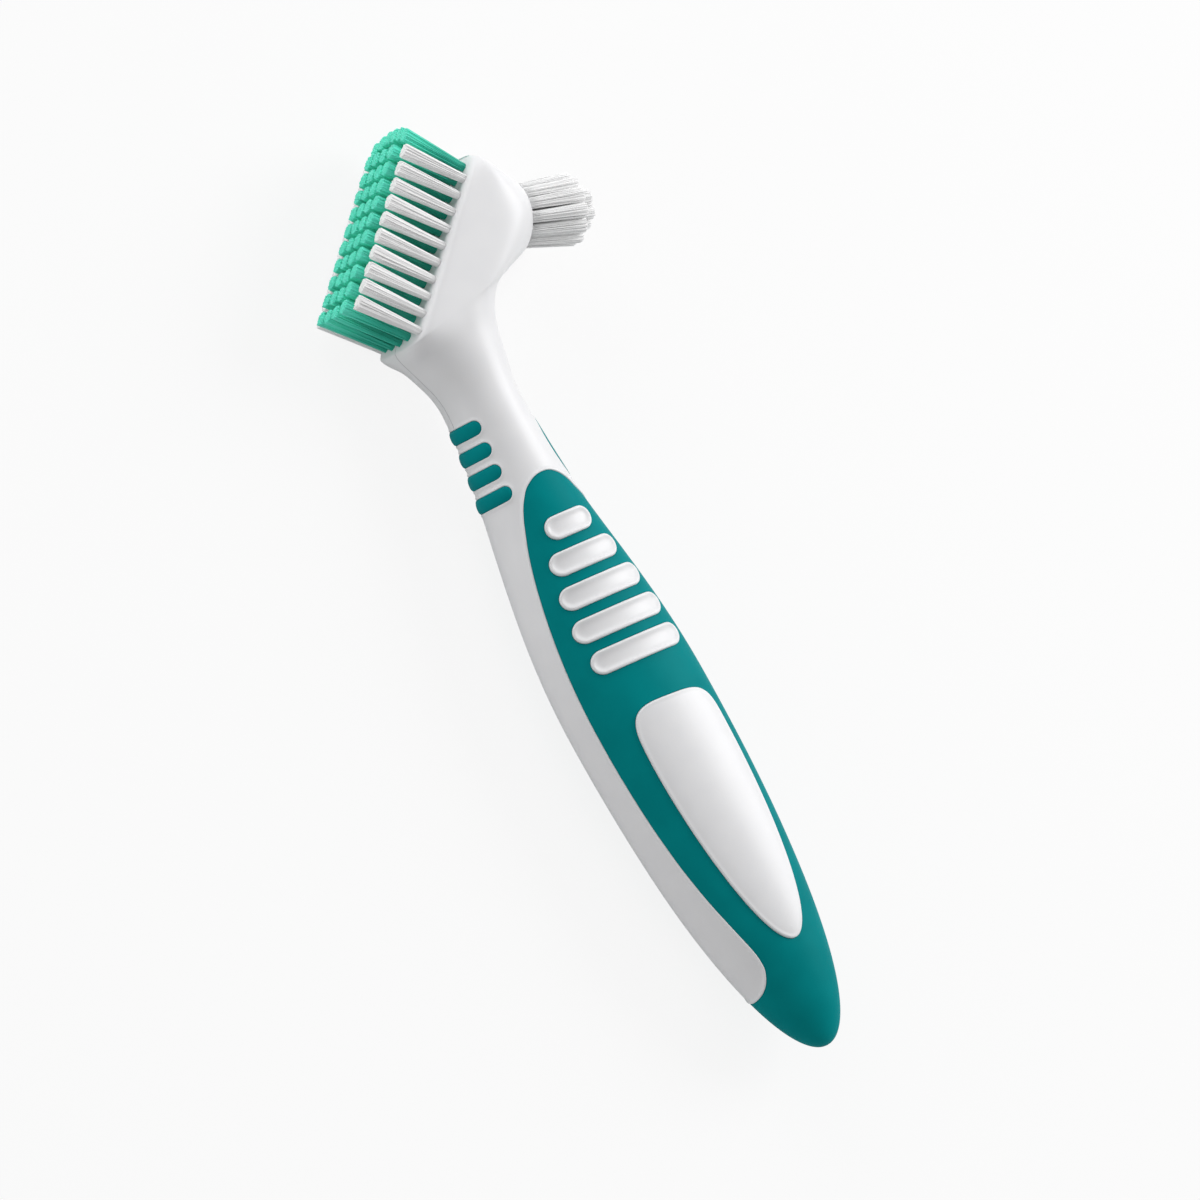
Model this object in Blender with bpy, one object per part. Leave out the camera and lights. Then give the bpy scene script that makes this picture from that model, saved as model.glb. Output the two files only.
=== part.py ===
# Denture brush: a large angled brush and a small round brush on one head, and a soft two-sided grip.
# Lengths are in metres and angles in degrees. The tail is at y = 0 and the head is toward +Y, the large
# brush toward -X and the small one toward +X. The mould's parting plane is z = 0, and both faces are alike.

from math import asin, cos, pi, radians, sin, sqrt

import bmesh
import bpy
from mathutils import Matrix, Vector

# General clearances and fineness
GAP = 0.0003                 # between two neighbouring pieces
AROUND = 24                  # points round a body section
HANDLE_STEPS = 24            # sections from the tail to the neck
STATION_CROWD = 1.6          # how much they crowd toward the tail
HEAD_STEPS = 2               # sections in each span of the head
BLUNT = 0.3                  # width of a round end's last ring, as a share of the full width
REACH = 0.04                 # how far a cutter runs past the body
SINK = 0.002                 # how deep a joined shape starts inside its neighbour
SMOOTH_ANGLE = 35.0          # edges under this angle are shaded smooth
SAME = 0.000001              # lengths that differ by less count as equal

# Handle
HANDLE_LENGTH = 0.127        # tail to the narrowest part of the neck
GRIP_WIDEST = 0.066          # tail to the widest section
GRIP_WIDTH = 0.0287
GRIP_THICKNESS = 0.0178
NECK_WIDTH = 0.0140
NECK_THICKNESS = 0.0140
TAIL_POWERS = (2.15, 3.3)    # bluntness of the tail, in width and in thickness
NECK_DELAYS = (1.08, 1.5)    # how late the taper to the neck sets in, in width and in thickness
HANDLE_BOW = ((0.0, 0.0012), (0.30, -0.0004), (0.78, -0.0018), (1.0, -0.0010))  # share of length, x

# Soft grip
SKIN_DEPTH = 0.0014          # recess of the core under the grip
SKIN_DEPTH_AT_BAND = 0.0010  # the same beside the white band
PANEL_TOP = 0.0159           # narrowest part of the neck to the top of the panel
PANEL_ARCH = ((-0.0063, 0.0029), (-0.0046, 0.0013), (-0.0020, 0.0002), (0.0008, 0.0), (0.0032, 0.0016),
              (0.0050, 0.0044), (0.0076, 0.0078), (0.0105, 0.0130))   # x, drop below the panel's top
BAND_TAIL = 0.0124           # tail to the end of the white band
BAND_STEPS = 26              # points along the band's edge
BAND_CROWD = 1.7             # how much they crowd toward the tail
BAND_INSET = ((0.0, 0.0001), (0.008, 0.0013), (0.030, 0.0031), (0.080, 0.0046), (0.16, 0.0041),
              (0.27, 0.0027), (0.39, 0.0019), (0.62, 0.0017), (0.78, 0.0020), (0.90, 0.0027),
              (1.0, 0.0042))  # share of the band's length, inset from the silhouette

# Dished pills and the thumb oval, on both faces
PILL_LENGTHS = (0.0190, 0.0189, 0.0170, 0.0140, 0.0095)
PILL_CENTRES = (-0.0004, -0.0007, -0.0009, -0.0011, -0.0010)
PILL_WIDTH = 0.0038
PILL_PITCH = 0.0062
PILL_TOP_MARGIN = 0.0097     # panel's top to the axis of the last pill
PILL_TILT = -3.5
PILL_RISE = 0.00045          # above the soft grip
DISH_WIDTH = 0.0026
DISH_DEPTH = 0.00045
DISH_MARGIN = 0.0011         # end of the pill to the end of its dish
DISH_POWER = 6.0             # bluntness of the dish's ends
OVAL_WIDTH = 0.0181
OVAL_GAP = 0.0103            # axis of the first pill to the top of the oval
OVAL_SHOULDER = 0.0087       # top of the oval to its widest line
OVAL_TAIL = 0.0192           # tail to the lower end of the oval
OVAL_LEAN = (0.0016, 0.0006)  # x of the lower end and of the widest line
OVAL_POWERS = (0.5, 1.1)     # squareness of its shoulders and fullness of its lower end

# Rib pads of the neck
RIB_COUNT = 4
RIB_PITCH = 0.0041
RIB_TOP_MARGIN = 0.0034      # narrowest part of the neck to the axis of the last rib
RIB_WIDTH = 0.0025
RIB_HEIGHTS = (0.0100, 0.0104, 0.0108, 0.0116)
RIB_RISE = 0.0005
RIB_DEPTH = 0.0010
RIB_STATIONS = (-1.0, -0.93, -0.80, -0.45, 0.0, 0.45, 0.80, 0.93, 1.0)  # shares of its half length
RIB_CROWN = 0.55             # width of its top, as a share

# Long pad on the other side of the neck
PAD_LENGTH = 0.0124
PAD_HEIGHT = 0.0088
PAD_TOP_MARGIN = 0.0064      # narrowest part of the neck to the upper end of the pad
PAD_RISE = 0.0003
PAD_POWER = 2.6              # squareness of its outline
PAD_STEPS = 10

# Head
HEAD_THICKNESS = 0.0187
HEAD_OFFSET = (0.0014, 0.0261)  # narrowest part of the neck to the middle of the tuft field
PLATFORM_ANGLE = 48.5        # tufts point this far from -X toward +Y
CHEEK_CUT = 0.0003           # taken off each face of the head to make it flat
HEAD_CAP = 0.0006            # bulge of the head's upper end
# The head's left side, from the middle of the tuft field: toward the lip, inward
HEAD_LEFT = ((0.0219, 0.0100), (0.0204, 0.0063), (0.0193, 0.0034), (0.0185, 0.0008), (0.0182, -0.0008),
             (0.0179, -0.0022), (0.0121, -0.0025), (0.0051, -0.0025), (-0.0018, -0.0025),
             (-0.0089, -0.0025), (-0.0151, -0.0026), (-0.0198, -0.0015))
HEAD_RIGHT = ((0.0069, 0.0050), (0.0074, 0.0085), (0.0084, 0.0123), (0.0100, 0.0154), (0.0121, 0.0177),
              (0.0145, 0.0190), (0.0165, 0.0215), (0.0186, 0.0258), (0.0200, 0.0305), (0.0203, 0.0343),
              (0.0192, 0.0366), (0.0179, 0.0382))  # x, distance from the narrowest part of the neck
HEAD_FULLNESS = (0.08, 0.28, 0.55, 0.96, 1.0, 1.0, 1.0, 1.0, 1.0, 0.98, 0.60, -0.60)  # 0 neck, 1 head
# Squareness of the head's left and right side
HEAD_POWERS = ((2.0, 2.0), (2.0, 2.1), (2.2, 2.2), (4.0, 2.3), (4.5, 2.5), (5.5, 2.8), (6.0, 3.6),
               (6.0, 4.5), (6.0, 3.4), (5.0, 2.5), (3.2, 2.1), (2.2, 2.0))

# Large brush
TUFTS_PER_ROW = 10
TUFT_PITCH = 0.0033
ROW_PITCH = 0.0029
GREEN_ROWS = 4
WHITE_LENGTH = 0.0124
GREEN_LENGTH = 0.0137
TUFT_ROOT = 0.0015
TUFT_TIP = 0.0027
STRAND_ROOT = 0.00046
STRAND_TIP = 0.00078
SLICE_DEPTH = 0.0016
SLICE_CORNER = 0.0009        # cut off the outer corners of the backing
END_TUFTS = 6                # beyond the rows' upper end
END_PITCH = 0.0024
END_OFFSET = 0.0024          # first row tuft to the outer end tufts
END_BOW = 0.0011             # how far the middle end tufts stand out from the outer ones
LIP_BOW = 0.0011             # how far the middle rows run on at the lip
LIP_SPREAD = 3               # how much of that falls on the last tufts of a row

# Small brush
BOSS_CENTRE = (0.0235, 0.0255)  # narrowest part of the neck to the middle of the boss's end
BOSS_ANGLE = -17.0           # its tufts point this far from +X toward +Y
BOSS_RADIUS = 0.0064
BOSS_BASE_RADIUS = 0.0094
BOSS_TAPER = 0.0062          # length of the cone
BOSS_RIM = 0.0006
SMALL_RINGS = ((1, 0.0), (6, 0.0022), (12, 0.0043))  # tufts, radius of their circle
SMALL_LENGTH = 0.0140
SMALL_EDGE_LENGTH = 0.0098
SMALL_TUFT_ROOT = 0.0011
SMALL_TUFT_TIP = 0.0019
SMALL_STRAND_ROOT = 0.00036
SMALL_STRAND_TIP = 0.00056

# Strands
STRANDS = 5                  # in each tuft
STRAND_CORNER = 0.6          # corner's distance from the axis, as a share of the strand's width
TIP_INSET = 0.4              # how far a tip stays inside its tuft's tip, as a share of the strand's width
SMALL_LEAN = 0.10            # flare of the small brush, as a share of a tuft's distance from the middle


# Curves

def smooth(t):
    return (1 - cos(pi * min(max(t, 0.0), 1.0))) / 2


def through(knots, t):
    """Value at t of a smooth curve through (t, value) knots, with no overshoot between them."""
    if t <= knots[0][0]:
        return knots[0][1]
    if t >= knots[-1][0]:
        return knots[-1][1]
    slopes = [(b[1] - a[1]) / (b[0] - a[0]) for a, b in zip(knots, knots[1:])]
    tangents = [slopes[0]]
    for before, after in zip(slopes, slopes[1:]):
        tangents.append(0.0 if before * after <= 0 else 2 * before * after / (before + after))
    tangents.append(slopes[-1])
    for i, (a, b) in enumerate(zip(knots, knots[1:])):
        if t <= b[0]:
            span = b[0] - a[0]
            s = (t - a[0]) / span
            return (a[1] * (1 + 2 * s) * (1 - s) ** 2 + b[1] * s * s * (3 - 2 * s)
                    + span * (tangents[i] * s * (1 - s) ** 2 - tangents[i + 1] * s * s * (1 - s)))


def catmull(points, steps):
    """Smooth curve through points, with a number of steps in each span."""
    padded = [2 * points[0] - points[1], *points, 2 * points[-1] - points[-2]]
    curve = []
    for a, b, c, d in zip(padded, padded[1:], padded[2:], padded[3:]):
        for k in range(steps):
            t = k / steps
            curve.append(0.5 * (2 * b + (c - a) * t + (2 * a - 5 * b + 4 * c - d) * t * t
                                + (3 * b - a - 3 * c + d) * t ** 3))
    return curve + [points[-1]]


def grown(outline, amount):
    """The closed outline moved out by an amount along its own normals. It runs counter-clockwise."""
    moved = []
    for before, point, after in zip(outline[-1:] + outline[:-1], outline, outline[1:] + outline[:1]):
        first = (point - before).normalized()
        second = (after - point).normalized()
        normal = Vector((first.y + second.y, -first.x - second.x)).normalized()
        moved.append(point + normal * amount / max(normal.dot(Vector((second.y, -second.x))), 0.5))
    return moved


# Sizes that follow from the driving ones

ridge_y = HANDLE_LENGTH - PANEL_TOP
pill_ys = [ridge_y - PILL_TOP_MARGIN - PILL_PITCH * k for k in reversed(range(len(PILL_LENGTHS)))]
oval_top = pill_ys[0] - OVAL_GAP
dish_radius = (DISH_WIDTH ** 2 / 4 + DISH_DEPTH ** 2) / (2 * DISH_DEPTH)
platform_axis = Vector((-cos(radians(PLATFORM_ANGLE)), sin(radians(PLATFORM_ANGLE))))
platform_along = Vector((-sin(radians(PLATFORM_ANGLE)), -cos(radians(PLATFORM_ANGLE))))
platform_centre = Vector((HEAD_OFFSET[0], HANDLE_LENGTH + HEAD_OFFSET[1]))
boss_axis = Vector((cos(radians(BOSS_ANGLE)), sin(radians(BOSS_ANGLE))))
boss_centre = Vector((BOSS_CENTRE[0], HANDLE_LENGTH + BOSS_CENTRE[1]))
row_half = TUFT_PITCH * (TUFTS_PER_ROW - 1) / 2
field_half = ROW_PITCH * (GREEN_ROWS + 1) / 2
row_reach = row_half + (TUFT_ROOT + GAP) / 2


# Scene and materials

def clear_scene():
    for item in list(bpy.data.objects):
        bpy.data.objects.remove(item, do_unlink=True)


def material(name, colour, roughness):
    made = bpy.data.materials.new(name)
    made.use_nodes = True
    shader = made.node_tree.nodes["Principled BSDF"]
    shader.inputs["Base Color"].default_value = (*colour, 1.0)
    shader.inputs["Roughness"].default_value = roughness
    shader.inputs["Metallic"].default_value = 0.0
    made.diffuse_color = (*colour, 1.0)
    return made


def add_object(name, mesh, look=None, parent=None, tool=False):
    item = bpy.data.objects.new(name, mesh)
    bpy.context.scene.collection.objects.link(item)
    item.parent = parent
    if look:
        mesh.materials.append(look)
    if tool:
        item.hide_render = True
        item.display_type = "WIRE"
    return item


def boolean(item, tool, operation):
    cut = item.modifiers.new(f"{operation.lower()} {tool.name}", "BOOLEAN")
    cut.object = tool
    cut.operation = operation
    cut.solver = "EXACT"


# Mesh builders

def finish(bm, name):
    bmesh.ops.recalc_face_normals(bm, faces=bm.faces)
    mesh = bpy.data.meshes.new(name)
    bm.to_mesh(mesh)
    bm.free()
    mesh.shade_smooth()
    mesh.set_sharp_from_angle(angle=radians(SMOOTH_ANGLE))
    return mesh


def add_loft(bm, rings, poles=(None, None)):
    """Skins a list of rings of equal count; each end closes on its pole, or flat without one."""
    rows = [[bm.verts.new(point) for point in ring] for ring in rings]
    for first, second in zip(rows, rows[1:]):
        for k in range(len(first)):
            n = (k + 1) % len(first)
            bm.faces.new((first[k], first[n], second[n], second[k]))
    for row, pole in zip((rows[0], rows[-1]), poles):
        if pole is None:
            bm.faces.new(row)
            continue
        tip = bm.verts.new(pole)
        for k in range(len(row)):
            bm.faces.new((row[k], row[(k + 1) % len(row)], tip))


def add_prism(bm, outline, low, high, place=None):
    """An outline of 2-D points run from low to high; place turns (x, y, height) into a point."""
    place = place or (lambda x, y, z: Vector((x, y, z)))
    add_loft(bm, [[place(p.x, p.y, level) for p in outline] for level in (low, high)])


def prism(name, outlines, low, high, place=None):
    bm = bmesh.new()
    for outline in outlines:
        add_prism(bm, outline, low, high, place)
    return finish(bm, name)


# Handle sections

def half_width(y):
    if y < GRIP_WIDEST:
        return GRIP_WIDTH / 2 * sqrt(max(1 - ((GRIP_WIDEST - y) / GRIP_WIDEST) ** TAIL_POWERS[0], 0.0))
    t = (y - GRIP_WIDEST) / (HANDLE_LENGTH - GRIP_WIDEST)
    return GRIP_WIDTH / 2 + (NECK_WIDTH - GRIP_WIDTH) / 2 * smooth(t ** NECK_DELAYS[0])


def half_thickness(y):
    if y < GRIP_WIDEST:
        return GRIP_THICKNESS / 2 * sqrt(max(1 - ((GRIP_WIDEST - y) / GRIP_WIDEST) ** TAIL_POWERS[1], 0.0))
    t = (y - GRIP_WIDEST) / (HANDLE_LENGTH - GRIP_WIDEST)
    return GRIP_THICKNESS / 2 + (NECK_THICKNESS - GRIP_THICKNESS) / 2 * smooth(t ** NECK_DELAYS[1])


def bow(y):
    return through(HANDLE_BOW, y / HANDLE_LENGTH)


def section(left, right, thickness, left_power, right_power):
    """Ring over the chord from left to right: a superellipse whose two sides have their own power."""
    middle = (left + right) / 2
    half = (right - left) / 2
    ring = []
    for k in range(AROUND):
        angle = 2 * pi * k / AROUND
        power = right_power if cos(angle) > 0 else left_power
        radius = (abs(cos(angle)) ** power + abs(sin(angle)) ** power) ** (-1 / power)
        flat = middle + half * radius * cos(angle)
        ring.append(Vector((flat.x, flat.y, thickness * radius * sin(angle))))
    return ring


def handle_ring(y, offset, band_offset):
    """Section at y, moved along the surface's normal by an offset, with another one on the left."""
    step = 1e-5
    slope = (half_width(y + step) - half_width(y - step)) / (2 * step)
    lean = sqrt(1 + slope * slope)
    moved = y - offset * slope / lean
    left = Vector((bow(y) - half_width(y) - band_offset / lean, moved))
    right = Vector((bow(y) + half_width(y) + offset / lean, moved))
    return section(left, right, half_thickness(y) + offset / lean, 2.0, 2.0)


def handle_stations():
    """Stations that crowd toward the tail, which is round."""
    return [HANDLE_LENGTH * (k / HANDLE_STEPS) ** STATION_CROWD for k in range(1, HANDLE_STEPS + 1)]


def handle_loft(name, offset=0.0, band_offset=None):
    """The handle alone, moved out by an offset."""
    band_offset = offset if band_offset is None else band_offset
    bm = bmesh.new()
    rings = [handle_ring(y, offset, band_offset) for y in handle_stations()]
    add_loft(bm, rings, (Vector((bow(0), -offset, 0)), None))
    return finish(bm, name)


# Whole body: handle, neck and head in one loft

def on_platform(along, depth):
    """Point in the parting plane, from the middle of the tuft field: along toward the lip, depth inward."""
    return platform_centre + platform_along * along - platform_axis * depth


def head_sections():
    """Left end, right end, half thickness and the two powers of each section from the neck to the top."""
    sections = []
    for left, right, share, powers in zip(HEAD_LEFT, HEAD_RIGHT, HEAD_FULLNESS, HEAD_POWERS):
        outer = Vector((right[0], HANDLE_LENGTH + right[1]))
        half = (NECK_THICKNESS + (HEAD_THICKNESS + 2 * CHEEK_CUT - NECK_THICKNESS) * share) / 2
        sections.append((on_platform(*left), outer, half, *powers))
    return sections


def body_rings():
    handle = [(Vector((bow(y) - half_width(y), y)), Vector((bow(y) + half_width(y), y)),
               half_thickness(y), 2.0, 2.0)
              for y in handle_stations()]
    knots = handle[-2:] + head_sections()
    lefts = catmull([knot[0] for knot in knots], HEAD_STEPS)
    rights = catmull([knot[1] for knot in knots], HEAD_STEPS)
    rest = catmull([Vector(knot[2:]) for knot in knots], HEAD_STEPS)
    rings = [section(*knot) for knot in handle[:-2]]
    rings += [section(left, right, *values) for left, right, values in zip(lefts, rights, rest)]
    return rings


def body_mesh(name):
    rings = body_rings()
    last = sum(rings[-1], Vector()) / AROUND
    up = Vector((*-platform_along, 0)) * HEAD_CAP
    bm = bmesh.new()
    add_loft(bm, rings, (Vector((bow(0), 0, 0)), last + up))
    return finish(bm, name)


# Outlines drawn in front view

def capsule(centre, length, width, tilt=0.0, steps=6):
    radius = width / 2
    reach = length / 2 - radius
    turn = radians(tilt)
    points = []
    for side, start in ((1, -pi / 2), (-1, pi / 2)):
        for k in range(steps + 1):
            angle = start + pi * k / steps
            points.append(Vector((side * reach + radius * cos(angle), radius * sin(angle))))
    return [centre + Vector((p.x * cos(turn) - p.y * sin(turn), p.x * sin(turn) + p.y * cos(turn)))
            for p in points]


def pill_outlines(extra=0.0):
    return [capsule(Vector((x, y)), length + 2 * extra, PILL_WIDTH + 2 * extra, PILL_TILT)
            for x, y, length in zip(PILL_CENTRES, pill_ys, PILL_LENGTHS)]


def oval_outline(steps=11):
    """A teardrop: half an ellipse toward the tail and a square-shouldered arch toward the pills."""
    middle = oval_top - OVAL_SHOULDER
    points = []
    for k in range(4 * steps):
        angle = 2 * pi * k / (4 * steps)
        across, up = cos(angle), sin(angle)
        side = 1 if across > 0 else -1
        if up >= 0:
            x = side * abs(across) ** OVAL_POWERS[0] * OVAL_WIDTH / 2
            y = middle + up ** OVAL_POWERS[0] * OVAL_SHOULDER
            lean = OVAL_LEAN[1]
        else:
            drop = abs(up) ** OVAL_POWERS[1]
            x = across * OVAL_WIDTH / 2
            y = middle - drop * (middle - OVAL_TAIL)
            lean = OVAL_LEAN[1] + drop * (OVAL_LEAN[0] - OVAL_LEAN[1])
        points.append(Vector((x + lean, y)))
    return points


def panel_outline():
    """Front view of the soft grip, counter-clockwise, past the body on the right and round the tail."""
    arch = catmull([Vector((x, ridge_y - drop)) for x, drop in PANEL_ARCH], 3)
    start = arch[0].y
    left = []
    for k in range(BAND_STEPS + 1):
        share = (k / BAND_STEPS) ** BAND_CROWD
        y = BAND_TAIL + (start - BAND_TAIL) * share
        left.append(Vector((bow(y) - half_width(y) + through(BAND_INSET, share), y)))
    outline = [Vector((REACH, arch[-1].y)), *reversed(arch), *reversed(left[:-1])]
    outline += [Vector((-REACH, BAND_TAIL)), Vector((-REACH, -REACH)), Vector((REACH, -REACH))]
    return outline


# Cutters of the handle

def window_mesh(name, extra):
    return prism(name, [*pill_outlines(extra), grown(oval_outline(), extra)], -REACH, REACH)


def surface_height(x, y, offset):
    """Height of the handle's face over a front-view point, with the body moved out by an offset."""
    width = half_width(y) + offset
    side = min(abs(x - bow(y)) / width, 0.999)
    return (half_thickness(y) + offset) * sqrt(1 - side * side)


def dish_ring(x, y, fat, depth, along, sides=8):
    """Ring round a spindle's axis, which lies over the pill so that the spindle cuts to the depth."""
    step = 1e-4
    slope = (surface_height(x + step, y, PILL_RISE) - surface_height(x - step, y, PILL_RISE)) / (2 * step)
    out = Vector((-slope, 0, 1)).normalized()
    across = Vector((-along.y, along.x, 0))
    centre = Vector((x, y, surface_height(x, y, PILL_RISE) + dish_radius - depth))
    angles = [2 * pi * k / sides for k in range(sides)]
    return [centre + fat * (across * cos(angle) + out * sin(angle)) for angle in angles]


def dish_mesh(name, rings=6):
    """A bent spindle over each pill of both faces, which hollows its top."""
    along = Vector((cos(radians(PILL_TILT)), sin(radians(PILL_TILT)), 0))
    bm = bmesh.new()
    for x, y, length in zip(PILL_CENTRES, pill_ys, PILL_LENGTHS):
        for face in (1, -1):
            spindle = []
            for k in range(rings + 1):
                share = -cos(pi * k / rings)
                fat = dish_radius * max(sqrt(1 - abs(share) ** DISH_POWER), BLUNT)
                spot = Vector((x, y, 0)) + along * (share * (length / 2 - DISH_MARGIN))
                ring = dish_ring(spot.x, spot.y, fat, DISH_DEPTH, along)
                spindle.append([Vector((p.x, p.y, p.z * face)) for p in ring])
            add_loft(bm, spindle)
    return finish(bm, name)


def rib_place(index):
    return HANDLE_LENGTH - RIB_TOP_MARGIN - RIB_PITCH * index


def skin_point(y, angle, side, offset):
    """Point over the handle's surface: angle 0 is on the side's parting line."""
    wide, thick = half_width(y), half_thickness(y)
    normal = Vector((cos(angle) / wide, sin(angle) / thick)).normalized()
    return Vector((bow(y) + side * (wide * cos(angle) + offset * normal.x), y,
                   thick * sin(angle) + offset * normal.y))


def add_rib(bm, index, extra, floor, crown, edge):
    """A rib round the left side of the neck, with round ends: floor, edge and crown are offsets."""
    y = rib_place(index)
    end = asin(RIB_HEIGHTS[index] / 2 / half_thickness(y))
    arc = end * (half_width(y) + half_thickness(y)) / 2 + extra
    half = RIB_WIDTH / 2 + extra
    rings = []
    for share in RIB_STATIONS:
        beyond = max(abs(share) * arc - (arc - half), 0.0) / half
        reach = half * max(sqrt(max(1 - beyond * beyond, 0.0)), BLUNT)
        angle = share * end * arc / (arc - extra)
        top = reach * RIB_CROWN
        profile = ((-reach, floor), (reach, floor), (reach, edge), (top, crown), (-top, crown),
                   (-reach, edge))
        rings.append([skin_point(y + across, angle, -1, level) for across, level in profile])
    add_loft(bm, rings)


def add_side_pad(bm, extra, floor, crown, edge):
    """A long pad on the right side of the neck, with round ends: floor, edge and crown are offsets."""
    middle = HANDLE_LENGTH - PAD_TOP_MARGIN - PAD_LENGTH / 2
    length = PAD_LENGTH / 2 + extra
    height = PAD_HEIGHT / 2 + extra
    rings = []
    for k in range(PAD_STEPS + 1):
        share = -cos(pi * k / PAD_STEPS)
        y = middle + length * share
        reach = height * max((1 - abs(share) ** PAD_POWER) ** (1 / PAD_POWER), BLUNT)
        wide = asin(reach / half_thickness(y))
        under = [skin_point(y, wide * part, 1, floor) for part in (-1, -0.5, 0, 0.5, 1)]
        over = [skin_point(y, wide * part, 1, level) for part, level in
                ((1, edge), (0.8, crown), (0.4, crown), (0, crown), (-0.4, crown), (-0.8, crown),
                 (-1, edge))]
        rings.append(under + over)
    add_loft(bm, rings)


# Pieces of the handle

def make_panel_tool(name, outline, root):
    return add_object(name, prism(name, [outline], -REACH, REACH), parent=root, tool=True)


def make_core(look, root):
    """The white body: head, neck, core of the handle, dished pills, ovals, grooves and tuft pockets."""
    core = add_object("handle_core", body_mesh("handle_core"), look, root)
    panel = make_panel_tool("panel_cutter", panel_outline(), root)
    inner = add_object("core_insert", handle_loft("core_insert", -SKIN_DEPTH, -SKIN_DEPTH_AT_BAND),
                       parent=root, tool=True)
    lands = add_object("lands", window_mesh("lands", 0.0), parent=root, tool=True)
    proud = add_object("proud_body", handle_loft("proud_body", PILL_RISE), parent=root, tool=True)
    boolean(lands, proud, "INTERSECT")
    dishes = add_object("dishes", dish_mesh("dishes"), parent=root, tool=True)
    boolean(lands, dishes, "DIFFERENCE")
    boolean(core, panel, "DIFFERENCE")
    boolean(core, inner, "UNION")
    boolean(core, lands, "UNION")
    boolean(core, make_neck_recesses(root), "DIFFERENCE")
    boolean(core, make_boss(root), "UNION")
    for tool in make_head_cutters(root):
        boolean(core, tool, "DIFFERENCE")
    return core


def make_neck_recesses(root):
    bm = bmesh.new()
    for index in range(RIB_COUNT):
        add_rib(bm, index, GAP, -RIB_DEPTH - GAP, SINK, SINK)
    add_side_pad(bm, GAP, -RIB_DEPTH - GAP, SINK, SINK)
    return add_object("neck_recesses", finish(bm, "neck_recesses"), parent=root, tool=True)


def make_grip(look, root):
    """The soft skin: both panels in one shell, open over the band, the pills and the ovals."""
    grip = add_object("grip_overmould", handle_loft("grip_overmould"), look, root)
    panel = make_panel_tool("grip_edge", grown(panel_outline(), -GAP), root)
    inner = handle_loft("grip_hollow", GAP - SKIN_DEPTH, GAP - SKIN_DEPTH_AT_BAND)
    hollow = add_object("grip_hollow", inner,
                        parent=root, tool=True)
    windows = add_object("grip_windows", window_mesh("grip_windows", GAP), parent=root, tool=True)
    boolean(grip, panel, "INTERSECT")
    boolean(grip, hollow, "DIFFERENCE")
    boolean(grip, windows, "DIFFERENCE")
    return grip


def make_ribs(look, root):
    for index in range(RIB_COUNT):
        bm = bmesh.new()
        add_rib(bm, index, 0.0, -RIB_DEPTH, RIB_RISE, RIB_RISE / 4)
        name = f"rib_{index + 1}"
        add_object(name, finish(bm, name), look, root)


def make_side_pad(look, root):
    bm = bmesh.new()
    add_side_pad(bm, 0.0, -RIB_DEPTH, PAD_RISE, PAD_RISE / 4)
    add_object("side_pad", finish(bm, "side_pad"), look, root)


# Head: boss, cutters and pockets

def platform_matrix():
    """Frame of the large brush: X along toward the lip, Y toward the front, Z outward."""
    along = Vector((*platform_along, 0))
    out = Vector((*platform_axis, 0))
    return frame_matrix(along, out, platform_centre)


def boss_matrix():
    """Frame of the small brush: Z outward from the end of the boss."""
    out = Vector((*boss_axis, 0))
    return frame_matrix(Vector((0, 0, 1)).cross(out), out, boss_centre)


def frame_matrix(x_axis, z_axis, centre):
    y_axis = z_axis.cross(x_axis)
    turn = Matrix((x_axis, y_axis, z_axis)).transposed().to_4x4()
    return Matrix.Translation((centre.x, centre.y, 0)) @ turn


def add_frame(name, matrix, root):
    frame = bpy.data.objects.new(name, None)
    bpy.context.scene.collection.objects.link(frame)
    frame.parent = root
    frame.matrix_local = matrix
    return frame


def circle(radius, count, centre=(0.0, 0.0)):
    angles = [2 * pi * k / count for k in range(count)]
    return [Vector((centre[0] + radius * cos(a), centre[1] + radius * sin(a))) for a in angles]


def make_boss(root):
    """Cone that carries the small brush, with a rounded rim."""
    profile = [(BOSS_BASE_RADIUS, -BOSS_TAPER - SINK), (BOSS_BASE_RADIUS, -BOSS_TAPER),
               (BOSS_RADIUS + BOSS_RIM * 0.25, -BOSS_RIM), (BOSS_RADIUS - BOSS_RIM * 0.2, -BOSS_RIM * 0.25),
               (BOSS_RADIUS - BOSS_RIM, 0.0)]
    bm = bmesh.new()
    add_loft(bm, [[Vector((p.x, p.y, height)) for p in circle(radius, 32)] for radius, height in profile])
    boss = add_object("boss", finish(bm, "boss"), parent=root, tool=True)
    boss.matrix_local = boss_matrix()
    return boss


def end_spots():
    """Places of the end tufts on their arc, beyond the upper end of the rows."""
    half = END_PITCH * (END_TUFTS - 1) / 2
    spots = []
    for k in range(END_TUFTS):
        across = END_PITCH * k - half
        stand = END_OFFSET + END_BOW * (1 - (across / half) ** 2)
        spots.append(Vector((-row_half - stand, across)))
    return spots


def end_slice(extra=0.0):
    """Outline of the end slice: straight toward the rows and bowed outward, counter-clockwise."""
    inner = -row_reach - GAP + extra
    half = END_PITCH * (END_TUFTS - 1) / 2 + TUFT_ROOT / 2 + GAP + extra
    outer = -row_half - END_OFFSET - TUFT_ROOT / 2 - GAP - extra
    points = [Vector((inner, half))]
    count = 8
    for k in range(count + 1):
        across = half - 2 * half * k / count
        points.append(Vector((outer - END_BOW * (1 - (across / half) ** 2), across)))
    points.append(Vector((inner, -half)))
    return points


def lip_run(row):
    """How far a row runs on past the outer rows at the lip."""
    return LIP_BOW * (1 - (row_place(row) / field_half) ** 2)


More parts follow.
